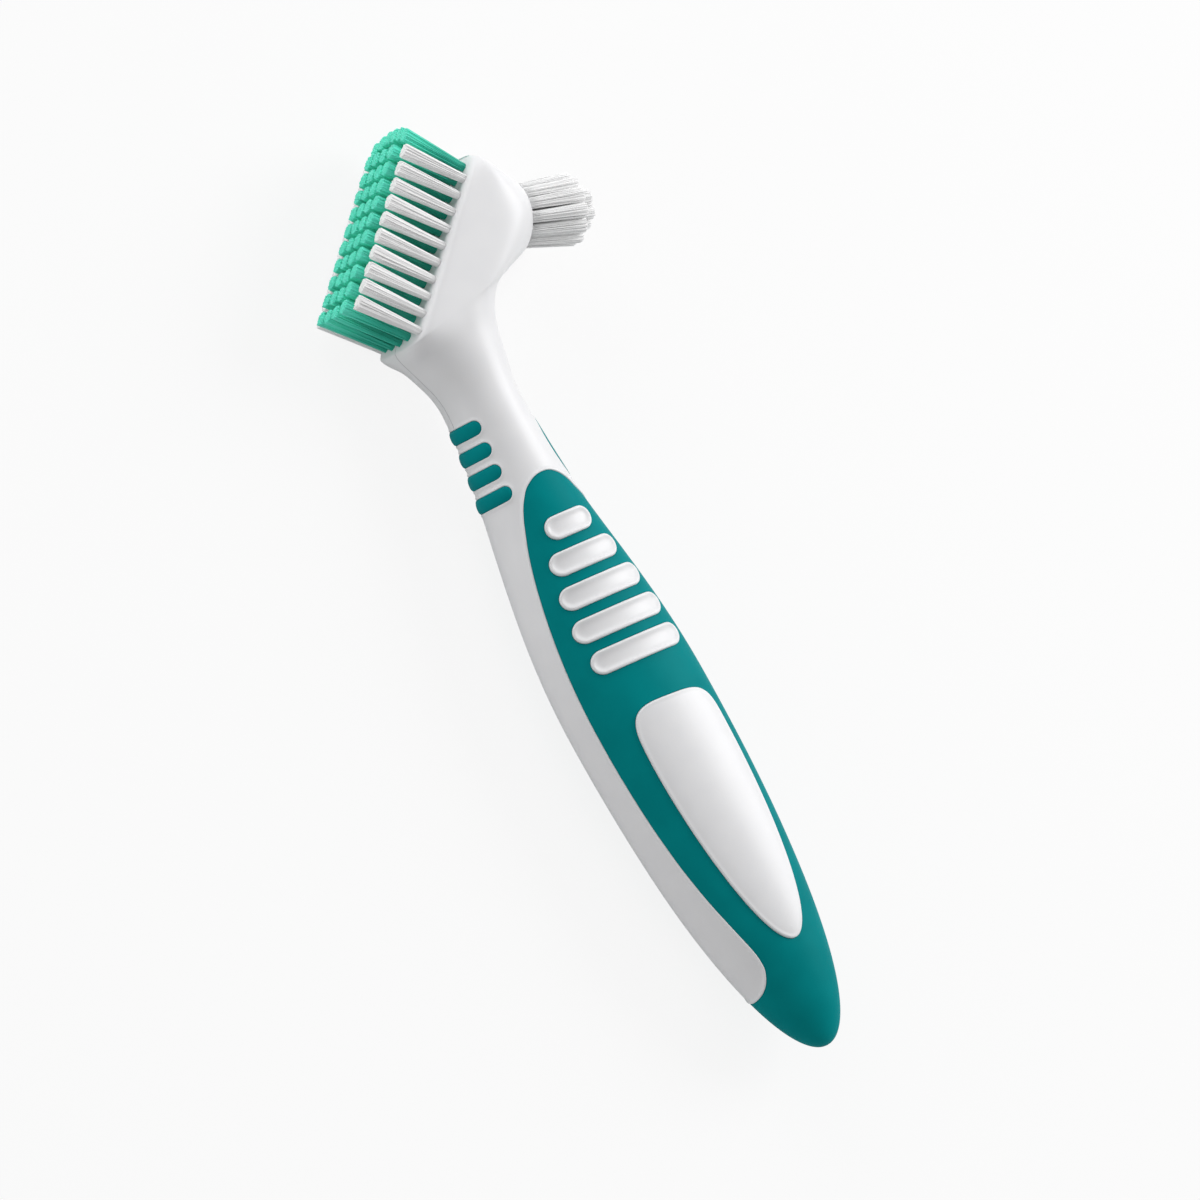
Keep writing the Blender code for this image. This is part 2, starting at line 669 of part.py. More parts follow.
def lip_steps(reach):
    """The pocket's wall at the lip, which steps from row to row, from the rear to the front."""
    steps = []
    for row in range(GREEN_ROWS + 1, 0, -1):
        here, after = lip_run(row), lip_run(row - 1)
        level = (row_place(row) + row_place(row - 1)) / 2
        if abs(after - here) > SAME:
            level += GAP / 2 if after < here else -GAP / 2
            steps += [Vector((reach + here, level)), Vector((reach + after, level))]
    return steps


def slice_corner(side, edge, reach, level, cut):
    """A corner of the backing, cut off at 45 degrees, counter-clockwise."""
    pair = [Vector((side * reach, level - edge * cut)), Vector((side * (reach - cut), level))]
    return pair if side * edge > 0 else pair[::-1]


def row_slice(row):
    across = row_place(row)
    half = (ROW_PITCH - GAP) / 2
    outline = []
    for side, edge in ((-1, -1), (1, -1), (1, 1), (-1, 1)):
        level = across + edge * half
        reach = row_reach + (lip_run(row) if side > 0 else 0.0)
        if abs(level) > field_half:
            outline += slice_corner(side, edge, reach, level, SLICE_CORNER)
        else:
            outline.append(Vector((side * reach, level)))
    return outline


def row_place(row):
    """Distance of a row from the parting plane: the first row is the front one."""
    return field_half - ROW_PITCH * row


def pocket_outline():
    """Opening in the platform that holds every slice, counter-clockwise."""
    reach = row_reach + GAP
    half = field_half + (ROW_PITCH + GAP) / 2
    cut = SLICE_CORNER + GAP * (2 - sqrt(2))
    top = end_slice(GAP)
    top[0].x = top[-1].x = -reach
    return [*slice_corner(1, -1, reach, -half, cut), *lip_steps(reach),
            *slice_corner(1, 1, reach, half, cut), *slice_corner(-1, 1, reach, half, cut), *top,
            *slice_corner(-1, -1, reach, -half, cut)]


def make_head_cutters(root):
    frame = add_frame("large_brush_frame", platform_matrix(), root)
    small = add_frame("small_brush_frame", boss_matrix(), root)
    wide = [Vector((x * REACH, y * REACH)) for x, y in ((-1, -1), (1, -1), (1, 1), (-1, 1))]
    level = add_object("platform_cutter", prism("platform_cutter", [wide], 0.0, REACH),
                       parent=frame, tool=True)
    pocket = add_object("tuft_pocket", prism("tuft_pocket", [pocket_outline()], -SLICE_DEPTH - GAP, SINK),
                        parent=frame, tool=True)
    outer = SMALL_RINGS[-1][1] + SMALL_TUFT_ROOT / 2 + GAP
    round_well = prism("small_pocket", [circle(outer + GAP, 28)], -SLICE_DEPTH - GAP, SINK)
    well = add_object("small_pocket", round_well, parent=small, tool=True)
    base = HANDLE_LENGTH + SINK
    cheek = [Vector((-REACH, base)), Vector((REACH, base)), Vector((REACH, base + REACH)),
             Vector((-REACH, base + REACH))]
    half = HEAD_THICKNESS / 2
    front = add_object("front_cheek", prism("front_cheek", [cheek], half, REACH), parent=root, tool=True)
    back = add_object("back_cheek", prism("back_cheek", [cheek], -REACH, -half), parent=root, tool=True)
    return level, pocket, well, front, back


# Tufts

def add_strand(bm, foot, tip, foot_size, tip_size, turn):
    """A tapering three-sided strand from foot to tip, of about the width given for each."""
    rings = []
    for centre, size in ((foot, foot_size), (tip, tip_size)):
        ring = []
        for k in range(3):
            angle = turn + 2 * pi * k / 3
            ring.append(centre + Vector((cos(angle), sin(angle), 0)) * size * STRAND_CORNER)
        rings.append(ring)
    add_loft(bm, rings)


def add_tuft(bm, spot, lean, length, root_size, tip_size, strand_root, strand_tip):
    """Five strands that leave a narrow root and flare: one in the middle and four round it."""
    foot_level = -SLICE_DEPTH / 2
    for k in range(STRANDS):
        angle = pi / 4 + pi / 2 * k
        reach = 0.0 if k == STRANDS - 1 else 1.0
        offset = Vector((cos(angle), sin(angle), 0)) * reach
        foot = Vector((spot.x, spot.y, foot_level)) + offset * (root_size / 2 - strand_root / 2)
        head = Vector((spot.x + lean.x, spot.y + lean.y, length))
        head += offset * (tip_size / 2 - strand_tip * TIP_INSET)
        add_strand(bm, foot, head, strand_root, strand_tip, angle)


def make_bristles(name, outlines, tufts, sizes, look, frame):
    """A slice of the backing with its tufts. tufts holds (spot, lean, length) of each."""
    bm = bmesh.new()
    for spot, lean, length in tufts:
        add_tuft(bm, spot, lean, length, *sizes)
    strands = add_object(f"{name}_strands", finish(bm, f"{name}_strands"), parent=frame, tool=True)
    backing = add_object(name, prism(name, outlines, -SLICE_DEPTH, 0.0), look, frame)
    boolean(backing, strands, "UNION")
    return backing


def make_large_brush(white, green, frame):
    sizes = (TUFT_ROOT, TUFT_TIP, STRAND_ROOT, STRAND_TIP)
    still = Vector((0, 0))
    for row in range(GREEN_ROWS + 2):
        outer = row in (0, GREEN_ROWS + 1)
        name = f"green_row_{row}"
        if outer:
            name = "white_row_front" if row == 0 else "white_row_rear"
        length = WHITE_LENGTH if outer else GREEN_LENGTH
        tufts = []
        for k in range(TUFTS_PER_ROW):
            run = lip_run(row) * (k / (TUFTS_PER_ROW - 1)) ** LIP_SPREAD
            tufts.append((Vector((TUFT_PITCH * k - row_half + run, row_place(row))), still, length))
        make_bristles(name, [row_slice(row)], tufts, sizes, white if outer else green, frame)
    tufts = [(spot, still, GREEN_LENGTH) for spot in end_spots()]
    make_bristles("green_end_top", [end_slice()], tufts, sizes, green, frame)


def make_small_brush(white, frame):
    """An inner cluster and an outer ring of tufts, each on its own slice, with a domed trim."""
    sizes = (SMALL_TUFT_ROOT, SMALL_TUFT_TIP, SMALL_STRAND_ROOT, SMALL_STRAND_TIP)
    edge = SMALL_RINGS[-1][1]
    groups = ([], [])
    for index, (count, radius) in enumerate(SMALL_RINGS):
        for k in range(count):
            angle = 2 * pi * (k + 0.5 * (index == 2)) / count
            spot = Vector((radius * cos(angle), radius * sin(angle)))
            length = SMALL_LENGTH - (SMALL_LENGTH - SMALL_EDGE_LENGTH) * (radius / edge) ** 2
            groups[index == 2].append((spot, spot * SMALL_LEAN, length))
    split = (SMALL_RINGS[1][1] + SMALL_RINGS[2][1]) / 2
    outer = edge + SMALL_TUFT_ROOT / 2 + GAP
    make_bristles("small_tufts_inner", [circle(split - GAP / 2, 24)], groups[0], sizes, white, frame)
    ring = make_bristles("small_tufts_outer", [circle(outer, 28)], groups[1], sizes, white, frame)
    bore = prism("small_ring_bore", [circle(split + GAP / 2, 24)], -REACH / 8, SINK / 2)
    hole = add_object("small_ring_bore", bore, parent=frame, tool=True)
    boolean(ring, hole, "DIFFERENCE")


# Seating

def seat(root):
    """Moves everything so that the lowest point is at z = 0, under the middle of the outer box."""
    bpy.context.view_layer.update()
    graph = bpy.context.evaluated_depsgraph_get()
    low = Vector((1, 1, 1))
    high = -low
    for item in bpy.data.objects:
        if item.type != "MESH" or item.hide_render:
            continue
        shaped = item.evaluated_get(graph)
        for corner in shaped.to_mesh().vertices:
            point = shaped.matrix_world @ corner.co
            low = Vector(min(a, b) for a, b in zip(low, point))
            high = Vector(max(a, b) for a, b in zip(high, point))
        shaped.to_mesh_clear()
    root.location = (-(low.x + high.x) / 2, -(low.y + high.y) / 2, -low.z)


def main():
    clear_scene()
    white = material("white_plastic", (0.90, 0.90, 0.91), 0.28)
    teal = material("teal_rubber", (0.002, 0.245, 0.262), 0.42)
    bristle_white = material("white_bristle", (0.93, 0.93, 0.93), 0.45)
    bristle_green = material("green_bristle", (0.075, 0.52, 0.35), 0.40)
    root = bpy.data.objects.new("denture_brush", None)
    bpy.context.scene.collection.objects.link(root)
    make_core(white, root)
    make_grip(teal, root)
    make_ribs(teal, root)
    make_side_pad(teal, root)
    make_large_brush(bristle_white, bristle_green, bpy.data.objects["large_brush_frame"])
    make_small_brush(bristle_white, bpy.data.objects["small_brush_frame"])
    seat(root)


main()
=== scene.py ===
# Denture brush: fine shapes, finishes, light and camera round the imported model.
# The drawing's axes: y runs from the tail to the head, -x to the large brush, +z out of the front.
import math

import bmesh
import bpy
import numpy as np
from mathutils import Matrix, Vector
from mathutils.geometry import delaunay_2d_cdt


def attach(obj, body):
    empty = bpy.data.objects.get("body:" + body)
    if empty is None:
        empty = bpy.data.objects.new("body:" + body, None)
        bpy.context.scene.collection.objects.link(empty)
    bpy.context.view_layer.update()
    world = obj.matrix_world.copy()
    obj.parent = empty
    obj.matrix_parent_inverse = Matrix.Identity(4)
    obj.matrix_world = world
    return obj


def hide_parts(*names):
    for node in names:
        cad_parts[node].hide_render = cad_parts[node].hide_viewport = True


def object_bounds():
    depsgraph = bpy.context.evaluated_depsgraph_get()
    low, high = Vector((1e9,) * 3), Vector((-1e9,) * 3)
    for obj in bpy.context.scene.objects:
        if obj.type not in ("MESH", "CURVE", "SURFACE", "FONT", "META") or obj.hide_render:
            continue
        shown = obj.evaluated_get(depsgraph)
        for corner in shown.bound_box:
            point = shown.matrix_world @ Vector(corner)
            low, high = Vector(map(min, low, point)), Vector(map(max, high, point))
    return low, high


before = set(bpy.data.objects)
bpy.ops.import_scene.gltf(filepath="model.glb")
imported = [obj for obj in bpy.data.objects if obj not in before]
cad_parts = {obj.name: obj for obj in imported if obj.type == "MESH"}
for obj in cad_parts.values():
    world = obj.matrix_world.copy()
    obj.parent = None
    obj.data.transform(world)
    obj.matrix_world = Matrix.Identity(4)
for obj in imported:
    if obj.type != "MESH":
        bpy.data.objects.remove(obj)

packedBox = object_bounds()
mm = 0.001
seat = np.array((-8.36, -88.098, 9.35)) * mm  # the tail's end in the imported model

print("stage: frame loaded,", len(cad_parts), "nodes")


# Small curve helpers

def ease(t):
    return (1 - np.cos(np.pi * np.clip(t, 0, 1))) / 2


def through(knots, t):  # smooth curve through (t, value) knots, without overshoot
    if t <= knots[0][0]:
        return knots[0][1]
    if t >= knots[-1][0]:
        return knots[-1][1]
    slopes = [(b[1] - a[1]) / (b[0] - a[0]) for a, b in zip(knots, knots[1:])]
    tangents = [slopes[0]]
    for before, after in zip(slopes, slopes[1:]):
        tangents.append(0.0 if before * after <= 0 else 2 * before * after / (before + after))
    tangents.append(slopes[-1])
    for i, (a, b) in enumerate(zip(knots, knots[1:])):
        if t <= b[0]:
            span = b[0] - a[0]
            s = (t - a[0]) / span
            return (a[1] * (1 + 2 * s) * (1 - s) ** 2 + b[1] * s * s * (3 - 2 * s)
                    + span * (tangents[i] * s * (1 - s) ** 2 - tangents[i + 1] * s * s * (1 - s)))


def catmull(points, steps):  # smooth curve through rows of numbers, with some steps in each span
    points = [np.asarray(p, float) for p in points]
    padded = [2 * points[0] - points[1], *points, 2 * points[-1] - points[-2]]
    curve = []
    for a, b, c, d in zip(padded, padded[1:], padded[2:], padded[3:]):
        for k in range(steps):
            t = k / steps
            curve.append(0.5 * (2 * b + (c - a) * t + (2 * a - 5 * b + 4 * c - d) * t * t
                                + (3 * b - a - 3 * c + d) * t ** 3))
    return np.array(curve + [points[-1]])


def runs(points):  # length of a line up to each of its points
    return np.concatenate(([0], np.cumsum(np.linalg.norm(np.diff(points, axis=0), axis=1))))


def spread(line, lengths, count):  # the same line in count steps of even length
    marks = np.linspace(0, lengths[-1], count + 1)
    return np.stack([np.interp(marks, lengths, line[:, k]) for k in range(line.shape[1])], axis=1)


def evenly(points, step):  # the same line with points an even step apart
    points = np.asarray(points, float)
    lengths = runs(points)
    return spread(points, lengths, max(2, int(round(lengths[-1] / step))))


def roundEnded(reach, radius, steps, between=0):  # closed outline; between gives its straight sides points
    points = []
    for side, start in ((1, -math.pi / 2), (-1, math.pi / 2)):
        for k in range(steps + 1):
            a = start + math.pi * k / steps
            points.append((side * reach + radius * math.cos(a), radius * math.sin(a)))
        end = points[-1]
        points += [(end[0] - side * 2 * reach * k / between, end[1]) for k in range(1, between)]
    return np.array(points)


# Meshes and objects

def addObject(name, data):
    made = bpy.data.objects.new(name, data)
    bpy.context.scene.collection.objects.link(made)
    return made


def makeObject(name, verts, faces, node, look, values=None):
    mesh = bpy.data.meshes.new(name)
    mesh.from_pydata((np.asarray(verts) + seat).tolist(), [], faces)
    draft = bmesh.new()
    draft.from_mesh(mesh)
    bmesh.ops.recalc_face_normals(draft, faces=draft.faces)
    openEdges = sum(1 for e in draft.edges if len(e.link_faces) != 2)
    draft.to_mesh(mesh)
    draft.free()
    print(name, len(mesh.polygons), "faces,", openEdges, "edges without two faces")
    for label, numbers in (values or {}).items():
        made = mesh.attributes.new(label, "FLOAT", "POINT")
        made.data.foreach_set("value", np.asarray(numbers, np.float32))
    mesh.shade_smooth()
    mesh.materials.append(look)
    piece = addObject(name, mesh)
    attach(piece, "root")
    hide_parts(node)


class Shell:  # vertices and faces that are gathered before an object is made
    def __init__(self):
        self.verts = []
        self.faces = []

    def add(self, points):
        start = len(self.verts)
        self.verts += [tuple(p) for p in points]
        return list(range(start, start + len(points)))

    def skin(self, rows):
        for first, second in zip(rows, rows[1:]):
            for k in range(len(first)):
                n = (k + 1) % len(first)
                self.faces.append((first[k], first[n], second[n], second[k]))

    def fan(self, row, tip):
        for k in range(len(row)):
            self.faces.append((row[k], row[(k + 1) % len(row)], tip))

    def merged(self, reach=1e-6):  # points that fall together become one
        keys = np.round(np.array(self.verts) / reach).astype(np.int64)
        _, first, back = np.unique(keys, axis=0, return_index=True, return_inverse=True)
        back = back.ravel()
        faces = []
        for face in self.faces:
            kept = list(dict.fromkeys(int(back[v]) for v in face))
            if len(kept) > 2:
                faces.append(tuple(kept))
        return np.array(self.verts)[first], faces


# Finishes: node maths written as expressions

class Wire:
    def __init__(self, nodes, socket):
        self.nodes = nodes
        self.socket = socket

    def maths(self, operation, first, second=0.0):
        return self.nodes.node("ShaderNodeMath", {"operation": operation}, {0: first, 1: second})

    def __add__(self, other):
        return self.maths("ADD", self, other)

    __radd__ = __add__

    def __sub__(self, other):
        return self.maths("SUBTRACT", self, other)

    def __rsub__(self, other):
        return self.maths("SUBTRACT", other, self)

    def __mul__(self, other):
        return self.maths("MULTIPLY", self, other)

    __rmul__ = __mul__

    def __abs__(self):
        return self.maths("ABSOLUTE", self)

    def atLeast(self, other):
        return self.maths("MAXIMUM", self, other)

    def step(self, low, high):  # 0 under low, 1 over high, smooth between
        return self.nodes.node("ShaderNodeMapRange", {"interpolation_type": "SMOOTHSTEP"},
                               {"Value": self, "From Min": low, "From Max": high})


class Nodes:
    def __init__(self, tree):
        self.tree = tree

    def node(self, kind, settings=None, sockets=None, output=0):
        made = self.tree.nodes.new(kind)
        for label, value in (settings or {}).items():
            setattr(made, label, value)
        for label, value in (sockets or {}).items():
            self.feed(made.inputs[label], value)
        return Wire(self, made.outputs[output])

    def feed(self, socket, value):
        if isinstance(value, Wire):
            self.tree.links.new(value.socket, socket)
        elif isinstance(value, (tuple, list)) and len(value) == 3 and socket.type == "RGBA":
            socket.default_value = (*value, 1.0)
        else:
            socket.default_value = value


class Look(Nodes):
    def __init__(self, name, fixed):
        self.material = bpy.data.materials.new(name)
        self.material.use_nodes = True
        super().__init__(self.material.node_tree)
        self.shader = self.tree.nodes["Principled BSDF"]
        for label, value in fixed.items():
            self.shader.inputs[label].default_value = value

    def give(self, label, value):
        self.feed(self.shader.inputs[label], value)

    def place(self):
        return self.node("ShaderNodeTexCoord", output="Object")

    def noise(self, scale, detail=2.0, rough=0.5, place=None):
        return self.node("ShaderNodeTexNoise", {}, {"Vector": place or self.place(), "Scale": scale,
                                                    "Detail": detail, "Roughness": rough})

    def blend(self, amount, first, second):
        return self.node("ShaderNodeMix", {"data_type": "RGBA"}, {0: amount, 6: first, 7: second}, output=2)

    def bump(self, height, distance):
        return self.node("ShaderNodeBump", {}, {"Height": height, "Distance": distance, "Strength": 1.0})

    def value(self, label):
        return self.node("ShaderNodeAttribute", {"attribute_name": label}, output="Fac")


whiteFinish = {
    "colour": (0.88, 0.88, 0.893),
    "shade": (0.865, 0.865, 0.88),  # broad, faint unevenness
    "roughness": 0.43,
    "fixed": {"Coat Weight": 0.2, "Coat Roughness": 0.3, "Specular IOR Level": 0.42,
              "Subsurface Weight": 0.12, "Subsurface Scale": 0.0015, "Subsurface Radius": (1.0, 0.95, 0.9)},
    "grain": 5200.0,  # fine moulded grain, per metre
    "ripple": 210.0,  # slow sink of the thick plastic
    "bump": 0.04 * mm,
    "grainRelief": 0.12,
    "rippleRelief": 0.08,
    "line": 0.16 * mm,  # half width of the mould line
    "lineColour": (0.42, 0.42, 0.44),
    "lineStrength": 0.65,
    "lineDepth": 1.5,
    "lineRight": -8.5 * mm,  # the line shows left of this x and between the two y, in the frame's axes
    "lineStart": 36.6 * mm,
    "lineEnd": 53.5 * mm,
    "lineFades": (1.5 * mm, 0.6 * mm, 2.0 * mm),  # at its right, its start and its end
}


def makeWhitePlastic():
    f = whiteFinish
    look = Look("whitePlastic", f["fixed"])
    place = look.place()
    broad = look.noise(f["ripple"], 1.0, 0.4, place)
    grain = look.noise(f["grain"], 2.0, 0.6, place)
    x, y, z = (look.node("ShaderNodeSeparateXYZ", {}, {0: place}, output=k) for k in range(3))
    sideFade, startFade, endFade = f["lineFades"]
    side = 1 - (x - f["lineRight"]).step(0.0, sideFade)
    reach = (y - f["lineStart"]).step(0.0, startFade) * (1 - (y - f["lineEnd"]).step(0.0, endFade))
    apart = abs(z - float(seat[2]))  # from the plane where the mould's halves meet
    line = (1 - apart.step(f["line"] * 0.3, f["line"])) * side * reach
    colour = look.blend(broad.step(0.3, 0.7), f["colour"], f["shade"])
    look.give("Base Color", look.blend(line * f["lineStrength"], colour, f["lineColour"]))
    look.give("Roughness", f["roughness"] - 0.04 + grain * 0.08)
    relief = grain * f["grainRelief"] + broad * f["rippleRelief"] - line * f["lineDepth"]
    look.give("Normal", look.bump(relief, f["bump"]))
    return look.material


tealFinish = {
    "colour": (0.0012, 0.262, 0.276),
    "deep": (0.0008, 0.238, 0.252),
    "specular": 0.02,
    "roughness": 0.44,
    "grain": 4200.0,
    "patches": 150.0,  # broad, faint unevenness, per metre
    "bump": 0.04 * mm,
    "grainRelief": 0.35,
    "patchRelief": 0.5,
}


def makeTealRubber():
    f = tealFinish
    look = Look("tealRubber", {"Specular IOR Level": f["specular"]})
    place = look.place()
    broad = look.noise(f["patches"], 2.0, 0.5, place)
    grain = look.noise(f["grain"], 3.0, 0.65, place)
    look.give("Base Color", look.blend(broad.step(0.25, 0.75), f["colour"], f["deep"]))
    look.give("Roughness", f["roughness"] - 0.05 + grain * 0.10)
    look.give("Normal", look.bump(grain * f["grainRelief"] + broad * f["patchRelief"], f["bump"]))
    return look.material


bristleFinish = {
    # root: a darker painted shade toward the roots, deep among the tufts; tip: a lighter painted highlight in
    # streaks at the cut ends
    "white": {"root": (0.97, 0.97, 0.97), "tone": (0.99, 0.99, 0.99), "dim": (0.965, 0.96, 0.965),
              "tip": (0.99, 0.99, 0.99)},
    "green": {"root": (0.02, 0.50, 0.36), "tone": (0.09, 0.88, 0.64), "dim": (0.045, 0.72, 0.51),
              "tip": (0.22, 0.95, 0.78)},
    "specular": 0.45,
    "roughness": 0.34,
    "streak": 2600.0,  # fine streaks on a filament, per metre
    "bump": 0.03 * mm,
}


def makeBristles(name, tones):
    f = bristleFinish
    look = Look(name, {"Specular IOR Level": f["specular"]})
    strand = look.value("strand")  # one number a filament
    along = look.value("along")  # 0 at the root, 1 at the tip
    streak = look.noise(f["streak"], 2.0, 0.5)
    tone = look.blend(strand.step(0.05, 0.6), tones["dim"], tones["tone"])
    # painted shade: darker toward the root
    tone = look.blend(along.step(0.25, 0.92), tones["root"], tone)
    # painted highlight: lighter streaks near the tips
    tone = look.blend((along - 0.7) * streak * 2.4, tone, tones["tip"])
    look.give("Base Color", tone)
    look.give("Roughness", f["roughness"] + strand * 0.10 + streak * 0.06)
    look.give("Normal", look.bump(streak, f["bump"]))
    return look.material


whitePlastic = makeWhitePlastic()
tealRubber = makeTealRubber()
bristles = {tint: makeBristles(tint + "Bristle", bristleFinish[tint]) for tint in ("white", "green")}
print("stage: finishes made")


# The handle's surface: angle 0 is the right flank, a quarter turn the front and a half turn the left flank

handle = {
    "length": 127.0 * mm,
    "widest": 66.0 * mm,
    "width": 28.7 * mm,
    "thickness": 17.8 * mm,
    "neck": 14.0 * mm,
    "tailPowers": (2.15, 3.3),  # roundness of the tail, in width and in thickness
    "neckDelays": (1.08, 1.5),  # how late it narrows toward the neck
    # share of the length, and x of the section's middle there
    "bow": ((0.0, 1.2 * mm), (0.30, -0.4 * mm), (0.78, -1.8 * mm), (1.0, -1.0 * mm)),
}
bowMarks = np.linspace(0, 1, 1201)
bowTable = np.array([through(handle["bow"], t) for t in bowMarks])


def girth(y, full, power, delay):
    y = np.asarray(y, float)
    widest = handle["widest"]
    below = np.clip((widest - y) / widest, 0, 1)
    beyond = np.clip((y - widest) / (handle["length"] - widest), 0, 1)
    tail = full / 2 * np.sqrt(np.clip(1 - below ** power, 0, 1))
    return np.where(y < widest, tail, full / 2 + (handle["neck"] - full) / 2 * ease(beyond ** delay))


def halfWidth(y):
    return girth(y, handle["width"], handle["tailPowers"][0], handle["neckDelays"][0])


def halfThickness(y):
    return girth(y, handle["thickness"], handle["tailPowers"][1], handle["neckDelays"][1])


def bow(y):
    return np.interp(np.asarray(y, float) / handle["length"], bowMarks, bowTable)


def onHandle(angle, y):
    angle, y = np.broadcast_arrays(np.asarray(angle, float), np.asarray(y, float))
    return np.stack([bow(y) + halfWidth(y) * np.cos(angle), y, halfThickness(y) * np.sin(angle)], axis=-1)


def lifted(angle, y, lift):  # a point over the handle's surface, along its normal
    turn, step = 1e-4, 1e-6
    across = onHandle(angle + turn, y) - onHandle(angle - turn, y)
    along = onHandle(angle, y + step) - onHandle(angle, np.maximum(y - step, 0))
    normal = np.cross(along, across)
    normal /= np.linalg.norm(normal, axis=-1, keepdims=True)
    return onHandle(angle, y) + normal * np.asarray(lift, float)[..., None]


def metric(angle, y):  # metres for each radian round the section
    return np.sqrt((halfWidth(y) * np.sin(angle)) ** 2 + (halfThickness(y) * np.cos(angle)) ** 2)


def wrapped(x, y):  # angle of a front-view point
    return np.arccos(np.clip((x - bow(y)) / halfWidth(y), -1, 1))


def evenLine(line, step, closed=False):  # (angle, y) line with points an even step apart over the surface
    line = np.asarray(line, float)
    if closed:
        line = np.vstack([line, line[:1]])
    lengths = runs(onHandle(line[:, 0], line[:, 1]))
    even = spread(line, lengths, max(3, int(round(lengths[-1] / step))))
    return even[:-1] if closed else even


def shifted(line, amount, closed=False):  # (angle, y) line moved to its left side over the surface
    if closed:
        before, after = np.roll(line, 1, axis=0), np.roll(line, -1, axis=0)
    else:
        before = np.vstack([line[:1], line[:-1]])
        after = np.vstack([line[1:], line[-1:]])
    scale = np.maximum(metric(line[:, 0], line[:, 1]), 0.5 * mm)
    across = (after[:, 0] - before[:, 0]) * scale
    along = after[:, 1] - before[:, 1]
    size = np.maximum(np.hypot(across, along), 1e-12)
    moved = line + np.stack([-along / size / scale, across / size], axis=1) * amount
    if not closed:  # the ends stay on the flank that they start from
        moved[0, 0], moved[-1, 0] = line[0, 0], line[-1, 0]
    return moved


# Outlines of the grip, the pills and the oval, in the front view

grip = {
    "top": 15.9 * mm,  # the panel's top under the narrowest part of the neck
    "arch": ((-7.92, 6.2), (-6.95, 4.0), (-5.95, 2.35), (-4.6, 0.8), (-2.3, -0.3), (0.4, -0.25),
             (2.5, 0.9), (4.2, 2.7), (5.3, 4.7), (7.6, 7.8), (10.5, 13.0)),  # x and drop in mm
    "bandTail": 12.4 * mm,  # where the white band begins
    "bandInset": ((0.0, 0.0), (0.009, 1.1), (0.028, 2.5), (0.053, 3.5), (0.08, 3.75), (0.13, 3.45),
                  (0.21, 2.8), (0.31, 2.25), (0.42, 1.96), (0.53, 1.86), (0.75, 1.95), (0.86, 2.1),
                  (0.93, 2.4), (1.0, 3.19)),  # share of its length, mm
    "skin": 1.1 * mm,
    "floor": -1.35 * mm,  # the core's surface under the skin
    "fineStep": 0.42 * mm,  # between points along the outline, and round the rings
}
pads = {  # lengths in mm
    "lengths": (19.4, 19.2, 17.4, 14.4, 9.9),
    "centres": (-0.2, -0.55, -0.7, -0.9, -0.8),
    "width": 4.3,
    "pitch": 6.2,
    "topMargin": 9.7,
    "tilt": -3.5,
    "step": 0.36,  # between points along a pill's outline
    "ovalWidth": 17.9,
    "ovalGap": 10.3,
    "ovalShoulder": 8.7,
    "ovalTail": 19.2,
    "ovalLean": (1.3, 0.5),
    "ovalRise": 0.093,  # how much its top climbs toward the left flank
    "ovalPivot": 6.5,  # x where the climbing top keeps its height
    "ovalPowers": (0.5, 1.1),
    "ovalStep": 0.5,
}
ridge = handle["length"] - grip["top"]
pillCount = len(pads["lengths"])
pillRows = [ridge - (pads["topMargin"] + pads["pitch"] * k) * mm for k in reversed(range(pillCount))]


def panelLine():  # from the band's tail up along the band, then over the arch to the right flank
    arch = catmull([np.array((x * mm, ridge - drop * mm)) for x, drop in grip["arch"]], 24)
    start = arch[0, 1]
    shares = np.linspace(0, 1, 260) ** 2.0
    y = grip["bandTail"] + (start - grip["bandTail"]) * shares
    inset = np.array([through(grip["bandInset"], s) for s in shares]) * mm
    left = np.stack([bow(y) - halfWidth(y) + inset, y], axis=1)
    front = np.vstack([left[:-1], arch])
    share = (front[:, 0] - bow(front[:, 1])) / halfWidth(front[:, 1])
    last = int(np.argmax(share >= 1))  # where the line meets the right flank
    part = (1 - share[last - 1]) / (share[last] - share[last - 1])
    y = np.append(front[:last, 1], front[last - 1, 1] + part * (front[last, 1] - front[last - 1, 1]))
    angle = np.append(np.arccos(np.clip(share[:last], -1, 1)), 0.0)
    angle[0] = np.pi
    return evenLine(np.stack([angle, y], axis=1), grip["fineStep"])


def pillLines():
    lines = []
    turn = math.radians(pads["tilt"])
    for length, x, y in zip(pads["lengths"], pads["centres"], pillRows):
        radius = pads["width"] / 2
        points = roundEnded(length / 2 - radius, radius, 24) * mm
        px = x * mm + points[:, 0] * math.cos(turn) - points[:, 1] * math.sin(turn)
        py = y + points[:, 0] * math.sin(turn) + points[:, 1] * math.cos(turn)
        line = np.stack([wrapped(px, py), py], axis=1)
        lines.append(evenLine(line, pads["step"] * mm, closed=True))
    return lines


def ovalLine():
    top = pillRows[0] - pads["ovalGap"] * mm
    middle = top - pads["ovalShoulder"] * mm
    a = np.linspace(0, 2 * np.pi, 480, endpoint=False)
    across, up = np.cos(a), np.sin(a)
    high = up >= 0
    square, full = pads["ovalPowers"]
    lift = np.where(high, np.abs(up) ** square, 0)
    drop = np.where(high, 0, np.abs(up) ** full)
    x = np.where(high, np.sign(across) * np.abs(across) ** square, across) * pads["ovalWidth"] / 2
    x = (x + pads["ovalLean"][1] + drop * (pads["ovalLean"][0] - pads["ovalLean"][1])) * mm
    y = middle + lift * pads["ovalShoulder"] * mm - drop * (middle - pads["ovalTail"] * mm)
    y = y + lift * pads["ovalRise"] * (pads["ovalPivot"] * mm - x)
    return evenLine(np.stack([wrapped(x, y), y], axis=1), pads["ovalStep"] * mm, closed=True)


# Rib pads and the long pad: outlines on the flanks

